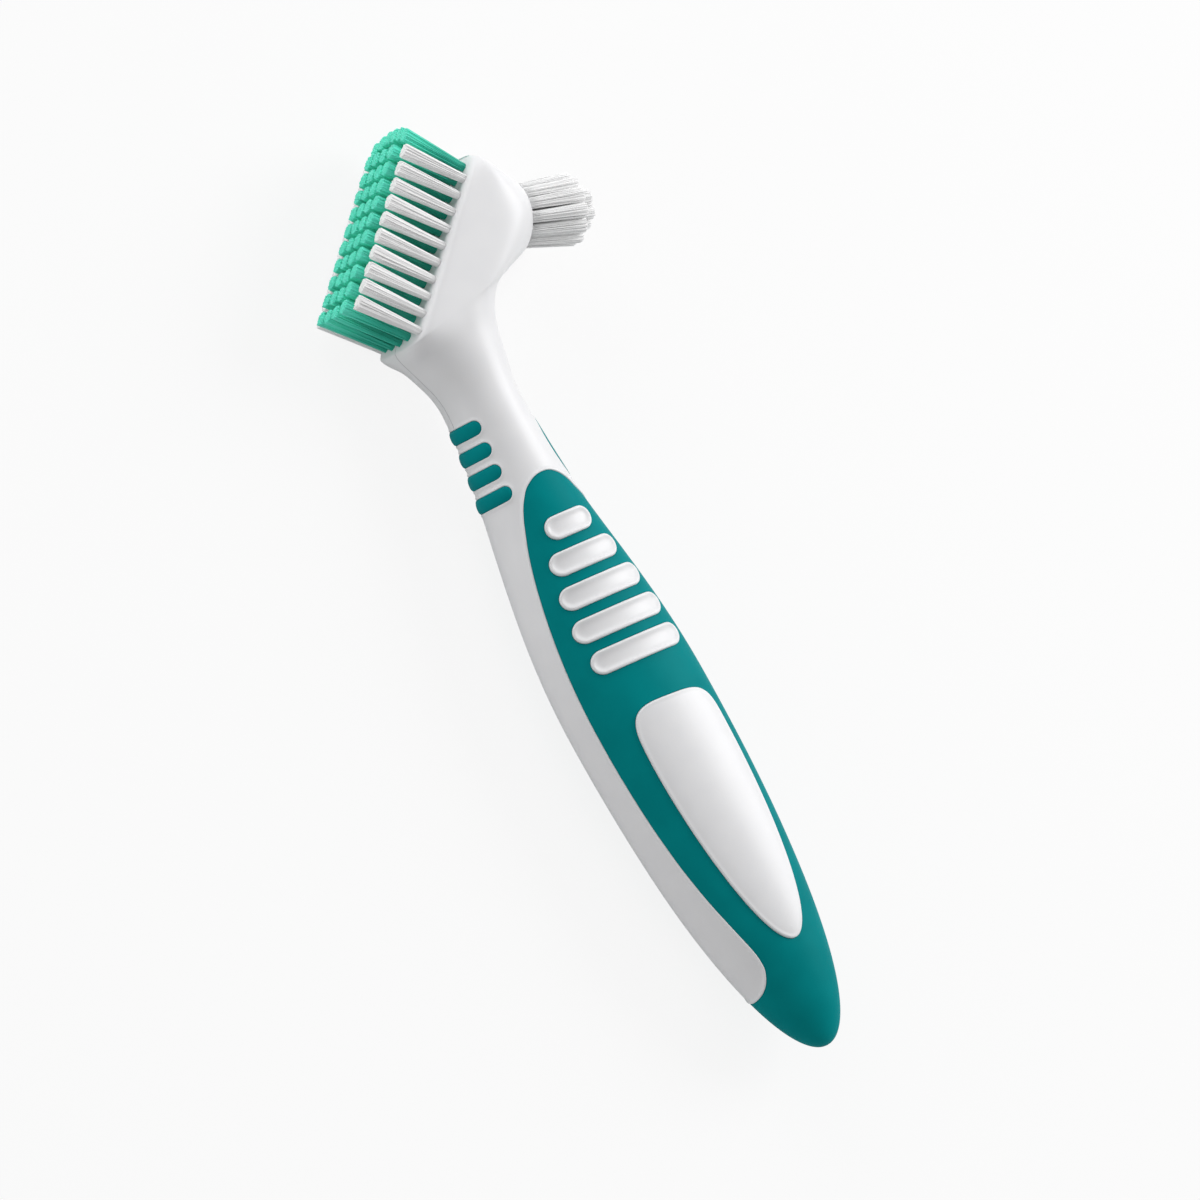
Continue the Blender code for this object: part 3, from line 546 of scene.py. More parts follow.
ribs = {
    "count": 4,
    "pitch": 4.2 * mm,
    "topMargin": 3.5 * mm,
    "width": 2.6 * mm,
    "heights": (10.2 * mm, 10.5 * mm, 10.9 * mm, 11.6 * mm),
    "step": 0.3 * mm,  # between points along an outline
}
longPad = {
    "length": 13.8 * mm,
    "height": 8.8 * mm,
    "topMargin": 5.7 * mm,
    "power": 2.6,
    "mean": 8 * mm,  # about the neck's half width, for even points round it
    "step": 0.35 * mm,
}


def ribPlace(index):  # y of its axis, the section's mean half width there and half of its length round it
    y = handle["length"] - ribs["topMargin"] - ribs["pitch"] * index
    mean = float(halfWidth(y) + halfThickness(y)) / 2
    return y, mean, math.asin(ribs["heights"][index] / 2 / float(halfThickness(y))) * mean


def ribLine(index, outset):  # the half on the front, from the flank round the end and back to it
    y, mean, arc = ribPlace(index)
    half = ribs["width"] / 2 + outset
    reach = arc - ribs["width"] / 2
    points = [(0.0, -half)]
    points += [(reach + half * math.sin(a), -half * math.cos(a)) for a in np.linspace(0, np.pi, 17)]
    points.append((0.0, half))
    even = evenly(points, ribs["step"])
    return np.stack([np.pi - even[:, 0] / mean, y + even[:, 1]], axis=1)


def longPadLine(outset):
    middle = handle["length"] - longPad["topMargin"] - longPad["length"] / 2
    a = np.linspace(0, np.pi, 61)
    power = 2 / longPad["power"]
    along = -np.sign(np.cos(a)) * np.abs(np.cos(a)) ** power * (longPad["length"] / 2 + outset)
    across = np.abs(np.sin(a)) ** power * (longPad["height"] / 2 + outset)
    y = middle + along
    angle = np.arcsin(np.clip(across / halfThickness(y), 0, 1))
    angle[0] = angle[-1] = 0.0
    even = evenly(np.stack([angle * longPad["mean"], y], axis=1), longPad["step"])
    return np.stack([even[:, 0] / longPad["mean"], even[:, 1]], axis=1)[::-1]


print("stage: outlines drawn")


# One height field over (angle, y): rings of points follow each outline, each with its own lift

searchBatch = 500  # points compared with the rings at a time


class Field:
    def __init__(self):
        self.points = []
        self.lifts = []
        self.edges = []

    def ring(self, line, lift, closed=False):  # lift is one number, or one for each point
        start = len(self.points)
        count = len(line)
        self.points += [tuple(p) for p in line]
        self.lifts += list(np.broadcast_to(lift, count))
        self.edges += [(start + k, start + k + 1) for k in range(count - 1)]
        if closed:
            self.edges.append((start + count - 1, start))

    def rings(self, line, profile, closed=False, side=1):
        for offset, lift in profile:
            self.ring(shifted(line, side * offset * mm, closed), lift * mm, closed)

    def row(self, y, lift):  # points round the section
        self.ring([(a, y) for a in ringAngles], lift)

    def scatter(self, top, lift):  # rows of points between the seam and the top, clear of the rings
        taken = onHandle(*np.array(self.points).T)
        grid = np.array([(a, y) for y in np.arange(seam + rowStep, top, rowStep) for a in ringAngles[::2]])
        spots = onHandle(*grid.T)
        keep = []
        for k in range(0, len(spots), searchBatch):
            part = spots[k:k + searchBatch]
            near = np.sqrt(((part[:, None, :] - taken[None, :, :]) ** 2).sum(-1)).min(1)
            keep.append(near > grip["fineStep"])
        chosen = grid[np.concatenate(keep)]
        self.points += [tuple(p) for p in chosen]
        self.lifts += list(lift(chosen)) if callable(lift) else [lift] * len(chosen)

    def triangles(self):
        scale = np.array((9.0, 1000.0))  # radians and metres to about millimetres
        flat = [Vector(p * scale) for p in np.array(self.points)]
        out = delaunay_2d_cdt(flat, self.edges, [], 0, 1e-5)
        places, faces, origins = out[0], out[2], out[3]
        points = np.array([self.points[o[0]] if o else np.array(v) / scale for v, o in zip(places, origins)])
        lifts = np.array([self.lifts[o[0]] if o else np.nan for o in origins])
        return points, lifts, [tuple(f) for f in faces]


def inside(points, polygon):  # even-odd test for many points
    x, y = points[:, 0], points[:, 1]
    result = np.zeros(len(points), bool)
    for a, b in zip(polygon, np.roll(polygon, -1, axis=0)):
        crosses = (a[1] > y) != (b[1] > y)
        with np.errstate(divide="ignore", invalid="ignore"):
            at = (b[0] - a[0]) * (y - a[1]) / (b[1] - a[1]) + a[0]
        result ^= crosses & (x < at)
    return result


panel = panelLine()
pills = pillLines()
oval = ovalLine()
seam = 5.0 * mm  # under it, the tail is plain rings
joint = handle["length"]  # over it, the head's rings begin
around = 160  # points round a ring
rowStep = 1.0 * mm  # between the rows of points that fill a field


def halfAngles():  # angles of a ring's front half, even round the section
    fine = np.linspace(0, np.pi, 1001)
    lengths = runs(onHandle(fine, np.full(len(fine), joint)))
    return spread(fine[:, None], lengths, around // 2)[:, 0]


ringAngles = halfAngles()


def orient(line):  # +1 where the line's left side is its outer side
    area = np.sum(line[:, 0] * np.roll(line[:, 1], -1) - np.roll(line[:, 0], -1) * line[:, 1])
    return -1 if area > 0 else 1


def onFlank(points):
    return (np.abs(points[:, 0]) < 1e-6) | (np.abs(points[:, 0] - np.pi) < 1e-6)


def mirrored(shell, points, lifts, faces, flip=False):  # the front half and its mirror image
    for side in (1, -1):
        spots = lifted(points[:, 0], points[:, 1], lifts)
        spots[onFlank(points), 2] = 0.0
        spots[:, 2] *= side
        start = len(shell.verts)
        shell.add(spots)
        turn = (side < 0) != flip
        for f in faces:
            face = tuple(start + v for v in f)
            shell.faces.append(face if turn else face[::-1])


# Profiles of the core's edges: mm from an outline toward the skin (or away from a pad), and mm lifted
coreEdges = {
    "panel": ((-0.95, 0.0), (-0.62, 0.02), (-0.44, 0.07), (-0.30, 0.14), (-0.17, 0.17), (-0.06, 0.15),
              (0.02, 0.08), (0.045, 0.0), (0.05, -0.3), (0.055, -1.35)),
    "pill": ((-1.72, 0.0), (-1.30, 0.035), (-0.95, 0.13), (-0.70, 0.29), (-0.52, 0.40), (-0.36, 0.44),
             (-0.20, 0.40), (-0.08, 0.28), (-0.01, 0.10), (0.02, -0.3), (0.04, -1.35)),
    "oval": ((-2.2, 0.41), (-1.3, 0.40), (-0.95, 0.37), (-0.65, 0.36), (-0.45, 0.40), (-0.30, 0.41),
             (-0.17, 0.37), (-0.07, 0.27), (-0.01, 0.10), (0.02, -0.3), (0.04, -1.35)),
    "pad": ((0.85, 0.0), (0.58, 0.03), (0.40, 0.09), (0.25, 0.15), (0.12, 0.15), (0.04, 0.09), (0.01, 0.0),
            (0.005, -0.6), (0.0, -1.2)),
}
ovalTop = 0.42 * mm  # how far the oval's middle stands over the handle's surface
grooveFloor = -1.2 * mm  # the core's surface under the rib pads and the long pad


def coreHandle(shell):  # the white core from the tail to the neck
    field = Field()
    floor = grip["floor"]
    field.rings(panel, coreEdges["panel"])
    for line in pills:
        field.rings(line, coreEdges["pill"], closed=True, side=orient(line))
    field.rings(oval, coreEdges["oval"], closed=True, side=orient(oval))
    for index in range(ribs["count"]):
        for offset, lift in coreEdges["pad"]:
            field.ring(ribLine(index, offset * mm), lift * mm)
    for offset, lift in coreEdges["pad"]:
        field.ring(longPadLine(offset * mm), lift * mm)
    under = np.vstack([panel, [[0.0, seam], [np.pi, seam]]])
    holes = [ribLine(i, 0.0) for i in range(ribs["count"])] + [longPadLine(0.0)]

    def lift(spots):
        levels = np.where(inside(spots, under), floor, 0.0)
        for hole in holes:
            levels[inside(spots, hole)] = grooveFloor
        for line in pills:
            levels[inside(spots, line)] = 0.0
        levels[inside(spots, oval)] = ovalTop
        return levels

    field.row(seam, floor)
    field.row(joint, 0.0)
    field.scatter(joint - grip["fineStep"], lift)
    for angle in (0.0, np.pi):
        field.ring([(angle, seam), (angle, joint)], (floor, 0.0))
    points, lifts, faces = field.triangles()
    mirrored(shell, points, np.where(np.isnan(lifts), lift(points), lifts), faces)
    addTail(shell, floor)


def wholeRing(front):  # a ring's front half and its mirror image
    front[0, 2] = front[-1, 2] = 0.0
    return np.vstack([front, front[1:-1][::-1] * np.array((1, 1, -1))])


def tailRing(y, lift):
    return wholeRing(lifted(ringAngles, np.full(len(ringAngles), y), lift))


def addTail(shell, lift, flip=False):  # the rings under the seam, closed at the tail's end
    rings = [shell.add(tailRing(y, lift)) for y in seam * np.linspace(0.09, 1, 15) ** 1.7]
    turned = rings if flip else [r[::-1] for r in rings]
    shell.skin(turned)
    shell.fan(turned[0], shell.add([(float(bow(0)), -lift, 0.0)])[0])


print("stage: fields ready")


# Head: rings from the neck over the head, with the small brush's boss pulled out of its side

head = {
    "thickness": 18.7 * mm,
    "full": 19.6 * mm,
    "dome": 0.35 * mm,
    "offset": (1.4 * mm, 26.1 * mm),
    "platformAngle": 48.5,
    # mm along the platform and under it, for the left end of each ring
    "left": ((21.9, 10.0), (20.4, 6.3), (19.4, 3.6), (18.7, 1.7), (18.0, 0.5), (16.9, 0.02), (12.1, 0.0),
             (5.1, 0.0), (-1.8, 0.0), (-8.9, 0.0), (-14.8, 0.0), (-18.6, 0.1), (-20.4, 0.75)),
    # x and mm beyond the neck, for the right end of each ring
    "right": ((6.9, 5.0), (7.4, 8.5), (8.5, 12.3), (10.2, 15.4), (12.4, 17.7), (14.8, 19.0), (16.8, 21.5),
              (18.8, 25.8), (20.0, 30.5), (20.3, 34.3), (19.4, 36.6), (18.2, 38.2), (16.9, 39.2)),
    # from the neck's thickness (0) to the head's (1), then the squareness of a ring's left and right half
    "fullness": (0.10, 0.30, 0.52, 0.74, 0.88, 0.96, 1.0, 1.0, 1.0, 0.97, 0.66, 0.06, -0.80),
    "powers": ((2.0, 2.0), (2.0, 2.1), (2.2, 2.1), (3.0, 2.1), (3.9, 2.2), (4.6, 2.6), (5.5, 3.2), (5.5, 3.7),
               (5.5, 3.7), (5.5, 3.5), (5.6, 3.1), (5.4, 2.7), (4.2, 2.4)),
    "cap": 0.5 * mm,
    "steps": 12,
    "lead": (23 / 24) ** 1.6,  # height of a first knot that only steers the curve, as a share of the handle
}
boss = {
    "centre": (23.8 * mm, 152.4 * mm),
    "angle": -17.0,
    "radius": 6.4 * mm,
    "baseRadius": 9.4 * mm,
    "taper": 9.4 * mm,
    "rim": 0.7 * mm,
    "rimSoftness": 0.45,  # as a share of the rim
    "blend": 1.8 * mm,
    "facing": 0.22,  # how far a spot of the head faces the boss before it is drawn out in full
    "depth": 16 * mm,  # spots deeper than this stay, and those a depthFade higher are drawn out in full
    "depthFade": 6 * mm,
    "smoothing": 60,  # passes that let the boss's foot flow into the head
    "crisp": 2.6 * mm,  # depth under the boss's end that stays as it is
    "fade": 3.0 * mm,
}
tilt = math.radians(head["platformAngle"])
platformOut = np.array((-math.cos(tilt), math.sin(tilt), 0.0))
platformAlong = np.array((-math.sin(tilt), -math.cos(tilt), 0.0))
platformCentre = np.array((head["offset"][0], handle["length"] + head["offset"][1], 0.0))
bossTurn = math.radians(boss["angle"])
bossOut = np.array((math.cos(bossTurn), math.sin(bossTurn), 0.0))
bossCentre = np.array((*boss["centre"], 0.0))


def sectionRing(left, right, half, leftPower, rightPower):
    fine = np.linspace(0, np.pi, 721)
    c, s = np.cos(fine), np.sin(fine)
    power = np.where(c > 0, rightPower, leftPower)
    radius = (np.abs(c) ** power + np.abs(s) ** power) ** (-1 / power)
    flat = (left + right) / 2 + ((right - left) / 2) * (radius * c)[:, None]
    line = np.column_stack([flat, half * radius * s])
    line[:, 2] = softCap(line[:, 2], head["thickness"] / 2, head["dome"])
    return wholeRing(spread(line, runs(line), around // 2))


def softCap(values, limit, soft):  # values over the limit come down to it, with a soft corner
    return values - soft * np.logaddexp(0, (values - limit) / soft)


def headRings():
    knots = []
    for y in (handle["length"] * head["lead"], handle["length"]):
        middle, w = float(bow(y)), float(halfWidth(y))
        knots.append(np.array((middle - w, y, middle + w, y, float(halfThickness(y)), 2.0, 2.0)))
    for left, right, share, powers in zip(head["left"], head["right"], head["fullness"], head["powers"]):
        spot = platformCentre + platformAlong * left[0] * mm - platformOut * left[1] * mm
        half = (handle["neck"] + (head["full"] - handle["neck"]) * share) / 2
        end = (right[0] * mm, handle["length"] + right[1] * mm)
        knots.append(np.array((spot[0], spot[1], *end, half, *powers)))
    curve = catmull(knots, head["steps"])[head["steps"]:]
    rings = [sectionRing(k[0:2], k[2:4], k[4], k[5], k[6]) for k in curve]
    rings[0] = tailRing(handle["length"], 0.0)
    return np.array(rings)


def ringNormals(rings):
    across = np.roll(rings, -1, axis=1) - np.roll(rings, 1, axis=1)
    along = np.gradient(rings, axis=0)
    normal = np.cross(along, across)
    return normal / np.maximum(np.linalg.norm(normal, axis=-1, keepdims=True), 1e-12)


def bossHeight(reach):  # height of the boss's profile at a distance from its axis
    slope = (boss["taper"] - boss["rim"]) / (boss["baseRadius"] - boss["radius"])
    cone = -(reach - boss["radius"]) * slope
    return softCap(cone, 0.0, boss["rim"] * boss["rimSoftness"])


def pullBoss(rings):
    normal = ringNormals(rings)
    away = rings - bossCentre
    height = away @ bossOut
    reach = np.linalg.norm(away - height[..., None] * bossOut, axis=-1)
    target = bossHeight(reach)
    blend = boss["blend"]
    raised = blend * np.logaddexp(height / blend, target / blend)
    facing = normal @ bossOut
    weight = ease(facing / boss["facing"]) * ease((height + boss["depth"]) / boss["depthFade"])
    rise = (raised - height) * weight
    soft = rise.copy()
    for _ in range(boss["smoothing"]):
        across = (np.roll(soft, 1, axis=1) + np.roll(soft, -1, axis=1)) / 2
        along = np.vstack([soft[:1], (soft[:-2] + soft[2:]) / 2, soft[-1:]])
        soft = (across + along) / 2
    share = ease((-height - boss["crisp"]) / boss["fade"])
    rise += (soft - rise) * share
    return rings + rise[..., None] * bossOut


def coreHead(shell):
    rings = pullBoss(headRings())
    rows = [shell.add(ring) for ring in rings]
    shell.skin(rows)
    last = rings[-1].mean(axis=0) - platformAlong * head["cap"]
    shell.fan(rows[-1], shell.add([last])[0])


shell = Shell()
coreHandle(shell)
coreHead(shell)
verts, faces = shell.merged()
makeObject("white_body", verts, faces, "handle_core", whitePlastic)
print("stage: white body", len(faces), "faces")


# Soft grip: the skin over the core, open over the band, the pills and the ovals

# The skin's edge: mm from an outline into the skin, and mm lifted
skinEdge = ((0.06, -0.20), (0.065, -0.08), (0.10, -0.04), (0.18, -0.015), (0.32, 0.0), (0.85, 0.0))


def gripSkin():  # points, lifts and faces of the front half
    field = Field()
    outer = shifted(panel, skinEdge[0][0] * mm)
    holes = []
    for line in (*pills, oval):
        side = orient(line)
        field.rings(line, skinEdge, closed=True, side=side)
        holes.append(shifted(line, side * skinEdge[0][0] * mm, True))
    field.rings(panel, skinEdge)
    field.row(seam, 0.0)
    field.scatter(ridge, 0.0)
    for angle, top in ((0.0, outer[-1, 1]), (np.pi, outer[0, 1])):
        field.ring([(angle, seam), (angle, top)], 0.0)
    points, lifts, faces = field.triangles()
    lifts = np.where(np.isnan(lifts), 0.0, lifts)
    middle = np.array([points[list(f)].mean(axis=0) for f in faces])
    region = np.vstack([outer, [[0.0, seam], [np.pi, seam]]])
    keep = inside(middle, region)
    for hole in holes:
        keep &= ~inside(middle, hole)
    faces = [f for f, k in zip(faces, keep) if k]
    used = sorted({v for f in faces for v in f})
    index = {v: i for i, v in enumerate(used)}
    return points[used], lifts[used], [tuple(index[v] for v in f) for f in faces]


def makeGrip():
    shell = Shell()
    points, lifts, faces = gripSkin()
    mirrored(shell, points, lifts, faces)
    mirrored(shell, points, -grip["skin"], faces, flip=True)
    count = len(points)
    # Open edges get a wall down to the inner side, in the order in which the faces name them
    seen = dict.fromkeys((a, b) for f in faces for a, b in zip(f, f[1:] + f[:1]))
    flank = onFlank(points)
    bottom = np.abs(points[:, 1] - seam) < 1e-7
    for a, b in seen:
        if (b, a) in seen or (flank[a] and flank[b]) or (bottom[a] and bottom[b]):
            continue
        for side in (0, 1):
            top, low = side * count, (2 + side) * count
            wall = (top + b, top + a, low + a, low + b)
            shell.faces.append(wall if side else wall[::-1])
    addTail(shell, 0.0)
    addTail(shell, -grip["skin"], flip=True)
    verts, faces = shell.merged()
    makeObject("soft_grip", verts, faces, "grip_overmould", tealRubber)


makeGrip()
print("stage: soft grip")


# Rib pads and the long pad, as closed cushions of rings

# Profiles from the middle of the underside over the edge to the middle of the top: mm inward, mm lifted
cushionEdge = ((0.0, -1.0), (0.0, -0.10), (0.01, -0.02), (0.06, 0.10), (0.18, 0.22))
ribProfile = ((1.0, -1.0), (0.5, -1.0), *cushionEdge, (0.40, 0.32), (0.66, 0.39), (0.92, 0.43), (1.14, 0.445))
longPadProfile = ((3.4, -1.0), (2.4, -1.0), (1.2, -1.0), *cushionEdge, (0.5, 0.25), (1.0, 0.28), (2.0, 0.29),
                  (3.2, 0.30))


def makeRib(index):
    shell = Shell()
    y, mean, arc = ribPlace(index)
    half = ribs["width"] / 2
    endSteps, sideSteps = 12, 24
    rows = []
    for inset, level in ribProfile:
        points = roundEnded(arc - half, half - inset * mm, endSteps, sideSteps)
        rows.append(shell.add(lifted(np.pi - points[:, 0] / mean, y + points[:, 1], level * mm)))
    shell.skin(rows)
    closeStrip(shell, rows[0], endSteps // 2)
    closeStrip(shell, rows[-1], endSteps // 2)
    number = str(index + 1)
    makeObject("rib_pad_" + number, shell.verts, shell.faces, "rib_" + number, tealRubber)


def closeStrip(shell, row, middle):  # joins the two sides of a thin ring; the point middle is at one end
    count = len(row)
    for k in range(count // 2):
        face = (row[(middle + k) % count], row[(middle + k + 1) % count],
                row[(middle - k - 1) % count], row[(middle - k) % count])
        shell.faces.append(tuple(dict.fromkeys(face)))


def makeLongPad():
    shell = Shell()
    middle = handle["length"] - longPad["topMargin"] - longPad["length"] / 2
    rows = []
    a = np.linspace(0, 2 * np.pi, 96, endpoint=False)
    power = 2 / longPad["power"]
    for inset, level in longPadProfile:
        along = np.sign(np.cos(a)) * np.abs(np.cos(a)) ** power * (longPad["length"] / 2 - inset * mm)
        across = np.sign(np.sin(a)) * np.abs(np.sin(a)) ** power * (longPad["height"] / 2 - inset * mm)
        y = middle + along
        angle = np.arcsin(np.clip(across / halfThickness(y), -1, 1))
        rows.append(shell.add(lifted(angle, y, level * mm)))
    shell.skin([r[::-1] for r in rows])
    closeStrip(shell, rows[0], 0)
    closeStrip(shell, rows[-1], 0)
    makeObject("side_grip_pad", shell.verts, shell.faces, "side_pad", tealRubber)


for ribIndex in range(ribs["count"]):
    makeRib(ribIndex)
makeLongPad()
print("stage: rib pads and long pad")


# Tufts: bundles of fine filaments that leave a narrow root and flare to a cut tip

tufts = {  # lengths in mm
    "rowCount": 10,
    "pitch": 3.3,
    "rowPitch": 2.9,
    "rows": ("white_row_front", "green_row_1", "green_row_2", "green_row_3", "green_row_4", "white_row_rear"),
    "whiteLength": 12.3,
    "greenLength": 13.5,
    "lipBow": 1.1,  # how far the middle rows run on at the lip
    "foot": -1.6,
    "rootRadius": 0.66,
    "tipHalf": (1.25, 1.05),  # along the row and across it
    "dome": 0.10,  # how much lower a tuft's outer filaments end
    "filaments": 74,
    "rootThick": 0.10,
    "tipThick": 0.185,
    "end": {"count": 6, "pitch": 2.3, "offset": 2.4, "bow": 1.1, "lean": 1.05, "shorter": 1.0},
}
smallTufts = {
    # tufts in a ring and its radius
    "rings": ((1, 0.0), (6, 2.3), (12, 4.6)),
    "length": 13.6,
    "edgeLength": 9.9,
    "foot": -1.2,
    "rootRadius": 0.98,
    "tipHalf": (1.25, 1.25),
    "dome": 0.25,
    "filaments": 80,
    "rootThick": 0.095,
    "tipThick": 0.165,
    "lean": 0.115,  # mm outward at the tip, for each mm of the ring's radius
}
filament = {  # lengths in mm
    "sides": 5,
    "levels": (0.0, 0.22, 0.5, 0.78, 0.985, 1.0),
    "fullAt": 0.985,  # where it reaches its thickness
    "end": 0.62,  # thickness of its cut end, as a share
    "squareness": 0.35,  # of the tuft's tip, 0 for a round one
    "scatter": 0.035,
    "bend": 0.05,
    "uneven": (-0.10, 0.06),  # how much shorter or longer it may be
    "flare": 1.12,  # over 1, it spreads late
}


def bundle(spots, leans, lengths, spec, seed):  # all filaments of some tufts, in their brush's own frame
    rng = np.random.default_rng(seed)
    verts, faces, strand, along = [], [], [], []
    golden = math.pi * (3 - math.sqrt(5))
    count = spec["filaments"]
    sides = filament["sides"]
    levels = filament["levels"]
    for spot, lean, length in zip(spots, leans, lengths):
        turn = rng.uniform(0, 2 * math.pi)
        for k in range(count):
            share = math.sqrt((k + 0.5) / count)
            a = turn + golden * k
            unit = np.array((math.cos(a), math.sin(a))) * share
            square = unit / max(np.abs(unit).max() / max(share, 1e-6), 1e-6)
            place = unit * (1 - filament["squareness"]) + square * filament["squareness"]
            root = np.array(spot) + unit * spec["rootRadius"]
            tip = np.array(spot) + np.array(lean) + place * np.array(spec["tipHalf"])
            tip = tip + rng.normal(0, filament["scatter"], 2)
            reach = length + rng.uniform(*filament["uneven"]) - spec["dome"] * share ** 2
            bend = rng.normal(0, filament["bend"], 2)
            tone = rng.uniform(0, 1)
            twist = rng.uniform(0, 2 * math.pi)
            start = len(verts)
            for level in levels:
                part = min(level / filament["fullAt"], 1.0)
                wide = spec["rootThick"] + (spec["tipThick"] - spec["rootThick"]) * part
                if level == 1.0:
                    wide *= filament["end"]
                centre = root + (tip - root) * level ** filament["flare"] + bend * math.sin(math.pi * level)
                height = spec["foot"] + (reach - spec["foot"]) * level
                for s in range(sides):
                    angle = twist + 2 * math.pi * s / sides
                    x, y = centre[0] + wide * math.cos(angle), centre[1] + wide * math.sin(angle)
                    verts.append((x, y, height))
                    strand.append(tone)
                    along.append(max(height, 0) / reach)
            for r in range(len(levels) - 1):
                for s in range(sides):
                    n = (s + 1) % sides
                    base = start + r * sides
                    faces.append((base + s, base + n, base + sides + n, base + sides + s))
            faces.append(tuple(start + s for s in reversed(range(sides))))
            top = start + (len(levels) - 1) * sides
            faces.append(tuple(top + s for s in range(sides)))
    return np.array(verts) * mm, faces, strand, along


def placeBundle(name, node, tint, made, xAxis, outAxis, centre):
    verts, faces, strand, along = made
    yAxis = np.cross(outAxis, xAxis)
    turned = verts @ np.array((xAxis, yAxis, outAxis)) + centre
    values = {"strand": strand, "along": along}
    makeObject(name, turned, faces, node, bristles[tint], values)


rowHalf = tufts["pitch"] * (tufts["rowCount"] - 1) / 2
fieldHalf = tufts["rowPitch"] * (len(tufts["rows"]) - 1) / 2
for rowIndex, node in enumerate(tufts["rows"]):
    tint = node.split("_")[0]
    length = tufts[tint + "Length"]
    across = fieldHalf - tufts["rowPitch"] * rowIndex
    run = tufts["lipBow"] * (1 - (across / fieldHalf) ** 2)
    last = tufts["rowCount"] - 1
    spots = [(tufts["pitch"] * k - rowHalf + run * (k / last) ** 3, across) for k in range(last + 1)]
    made = bundle(spots, [(0.0, 0.0)] * len(spots), [length] * len(spots), tufts, 100 + rowIndex)
    placeBundle(node.replace("row", "tufts"), node, tint, made, platformAlong, platformOut, platformCentre)
end = tufts["end"]
endHalf = end["pitch"] * (end["count"] - 1) / 2
places = [end["pitch"] * k - endHalf for k in range(end["count"])]
spots = [(-rowHalf - end["offset"] - end["bow"] * (1 - (a / endHalf) ** 2), a) for a in places]
leans = [(-end["lean"], 0.0)] * len(spots)
made = bundle(spots, leans, [tufts["greenLength"] - end["shorter"]] * len(spots), tufts, 200)
placeBundle("green_tufts_top", "green_end_top", "green", made, platformAlong, platformOut, platformCentre)
edge = smallTufts["rings"][-1][1]
smallAlong = np.cross((0.0, 0.0, 1.0), bossOut)
for node, wanted in (("small_tufts_inner", (0, 1)), ("small_tufts_outer", (2,))):
    spots, leans, lengths = [], [], []
    for ring in wanted:
        count, radius = smallTufts["rings"][ring]
        for k in range(count):
            a = 2 * math.pi * (k + 0.5 * (ring == 2)) / count  # the outer ring is half a step on
            spots.append((radius * math.cos(a), radius * math.sin(a)))
            leans.append((spots[-1][0] * smallTufts["lean"], spots[-1][1] * smallTufts["lean"]))
            lengths.append(smallTufts["length"] - (smallTufts["length"] - smallTufts["edgeLength"])
                           * (radius / edge) ** 2)
    made = bundle(spots, leans, lengths, smallTufts, 300 + wanted[0])
    placeBundle(node.replace("tufts", "brush"), node, "white", made, smallAlong, bossOut, bossCentre)
print("stage: tufts")


# Floor, light and camera

viewRight = Vector((0.768, -0.4617, 0.4435))
viewUp = Vector((0.3998, 0.887, 0.2309))
viewBack = viewRight.cross(viewUp).normalized()
pixelsPerMetre = 5750.0
photoSize = 1200.0
tailPixel = (822.0, 1048.0)

studio = {
    "floorSize": 3.0,
    "floorDrop": 0.4 * mm,
    "floorColour": (0.93, 0.93, 0.93),
    "floorGlow": 0.86,  # how much of the floor's colour the camera sees as plain white
    "worldFill": 0.385,
    "cameraDistance": 0.8,
    "lamps": (
        # name, watts, size, way toward the lamp in view axes (right, up, toward the camera), distance
        ("keyLamp", 5.1, 0.60, (1.0, 0.50, 0.02), 0.9),
        ("topLamp", 4.0, 0.70, (-0.40, 1.0, 0.25), 1.0),
        ("leftLamp", 1.2, 0.60, (-1.0, 0.30, 0.62), 0.9),
    ),
}


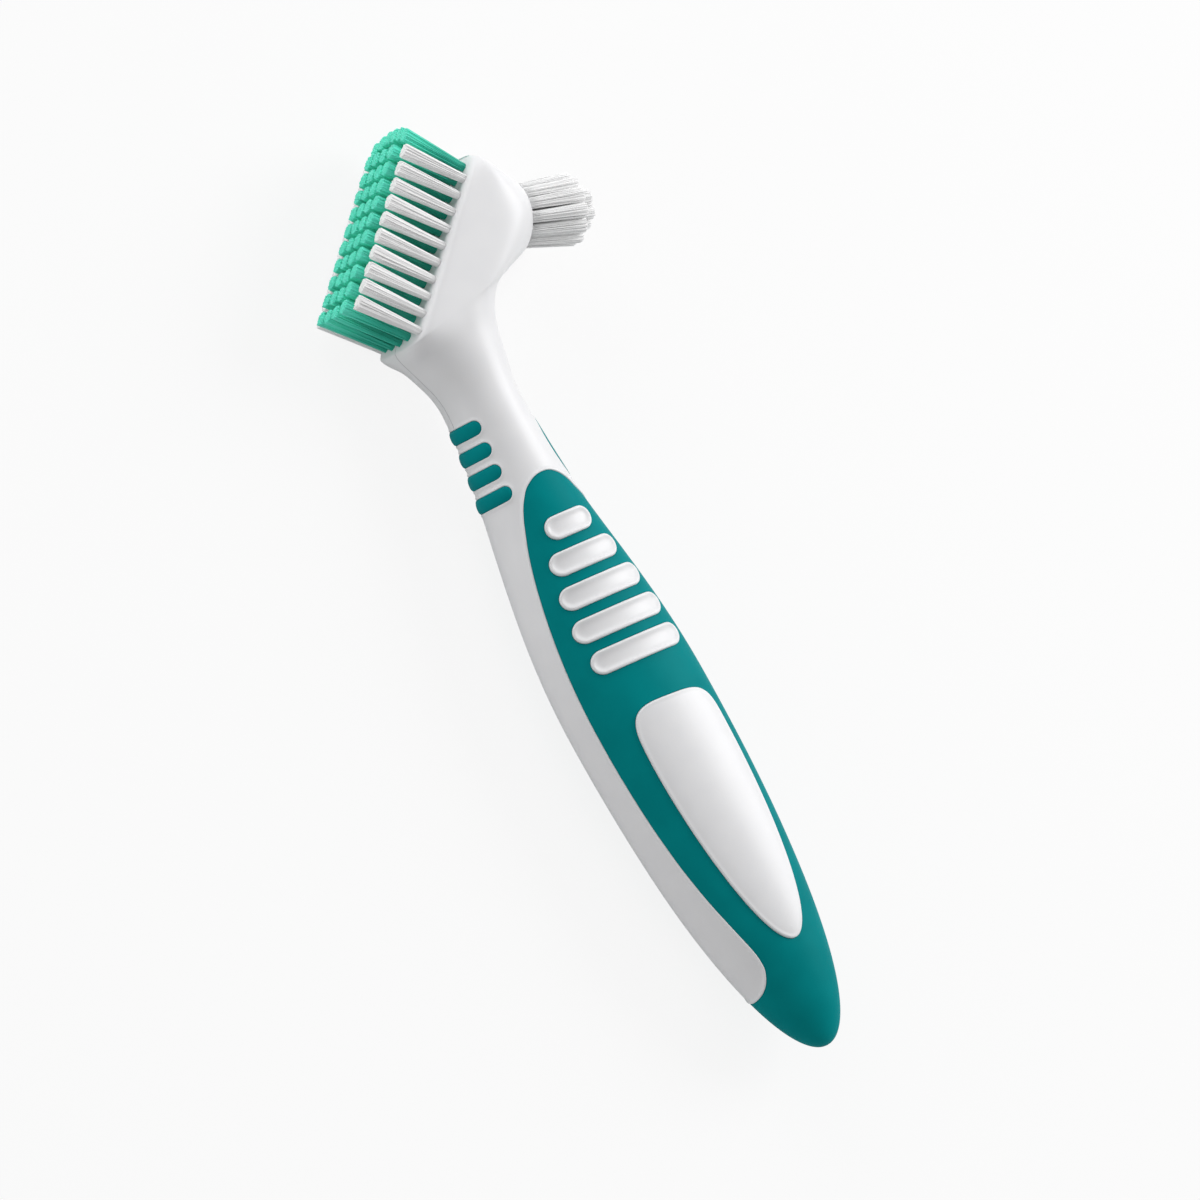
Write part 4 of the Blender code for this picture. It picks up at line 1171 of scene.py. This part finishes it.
def makeStage():
    look = Look("paleFloor", {"Roughness": 0.9})
    look.give("Base Color", studio["floorColour"])
    path = look.node("ShaderNodeLightPath", output="Is Camera Ray")
    glow = look.node("ShaderNodeEmission", {}, {"Color": (1.0, 1.0, 1.0), "Strength": 1.0})
    plain = Wire(look, look.shader.outputs[0])
    mixed = look.node("ShaderNodeMixShader", {}, {0: path * studio["floorGlow"], 1: plain, 2: glow})
    look.feed(look.tree.nodes["Material Output"].inputs[0], mixed)
    half = studio["floorSize"] / 2
    mesh = bpy.data.meshes.new("floor")
    corners = [(-half, -half), (half, -half), (half, half), (-half, half)]
    mesh.from_pydata([(x, y, -studio["floorDrop"]) for x, y in corners], [], [(0, 1, 2, 3)])
    mesh.materials.append(look.material)
    floor = addObject("floor", mesh)


def makeWorld():
    world = bpy.data.worlds.new("studioWorld")
    world.use_nodes = True
    bpy.context.scene.world = world
    nodes = Nodes(world.node_tree)
    back = nodes.tree.nodes["Background"].inputs
    camera, glossy, clear = (nodes.node("ShaderNodeLightPath", output=label)
                             for label in ("Is Camera Ray", "Is Glossy Ray", "Is Transmission Ray"))
    seen = camera.atLeast(glossy).atLeast(clear)  # plain white for what the camera sees
    nodes.feed(back["Color"], (1.0, 1.0, 1.0))
    nodes.feed(back["Strength"], nodes.node("ShaderNodeMapRange", {}, {
        "Value": seen, "To Min": studio["worldFill"], "To Max": 1.0}))


def makeLamps():
    middle = Vector((packedBox[0] + packedBox[1]) / 2)
    for name, watts, size, way, distance in studio["lamps"]:
        data = bpy.data.lights.new(name, "AREA")
        data.energy = watts
        data.shape = "DISK"
        data.size = size
        lamp = addObject(name, data)
        away = (viewRight * way[0] + viewUp * way[1] + viewBack * way[2]).normalized()
        lamp.location = middle + away * distance
        lamp.rotation_mode = "QUATERNION"
        lamp.rotation_quaternion = away.to_track_quat("Z", "Y")


def makeCamera():
    data = bpy.data.cameras.new("photoCamera")
    data.type = "ORTHO"
    data.ortho_scale = photoSize / pixelsPerMetre
    data.clip_start = 0.01
    data.clip_end = 10.0
    camera = addObject("photoCamera", data)
    across = (photoSize / 2 - tailPixel[0]) / pixelsPerMetre
    up = (tailPixel[1] - photoSize / 2) / pixelsPerMetre
    target = Vector(seat) + viewRight * across + viewUp * up
    turn = Matrix((viewRight, viewUp, viewBack)).transposed().to_4x4()
    camera.matrix_world = Matrix.Translation(target + viewBack * studio["cameraDistance"]) @ turn
    bpy.context.scene.camera = camera


makeStage()
makeWorld()
makeLamps()
makeCamera()
bpy.context.scene.view_settings.view_transform = "Standard"
print("stage: studio ready")
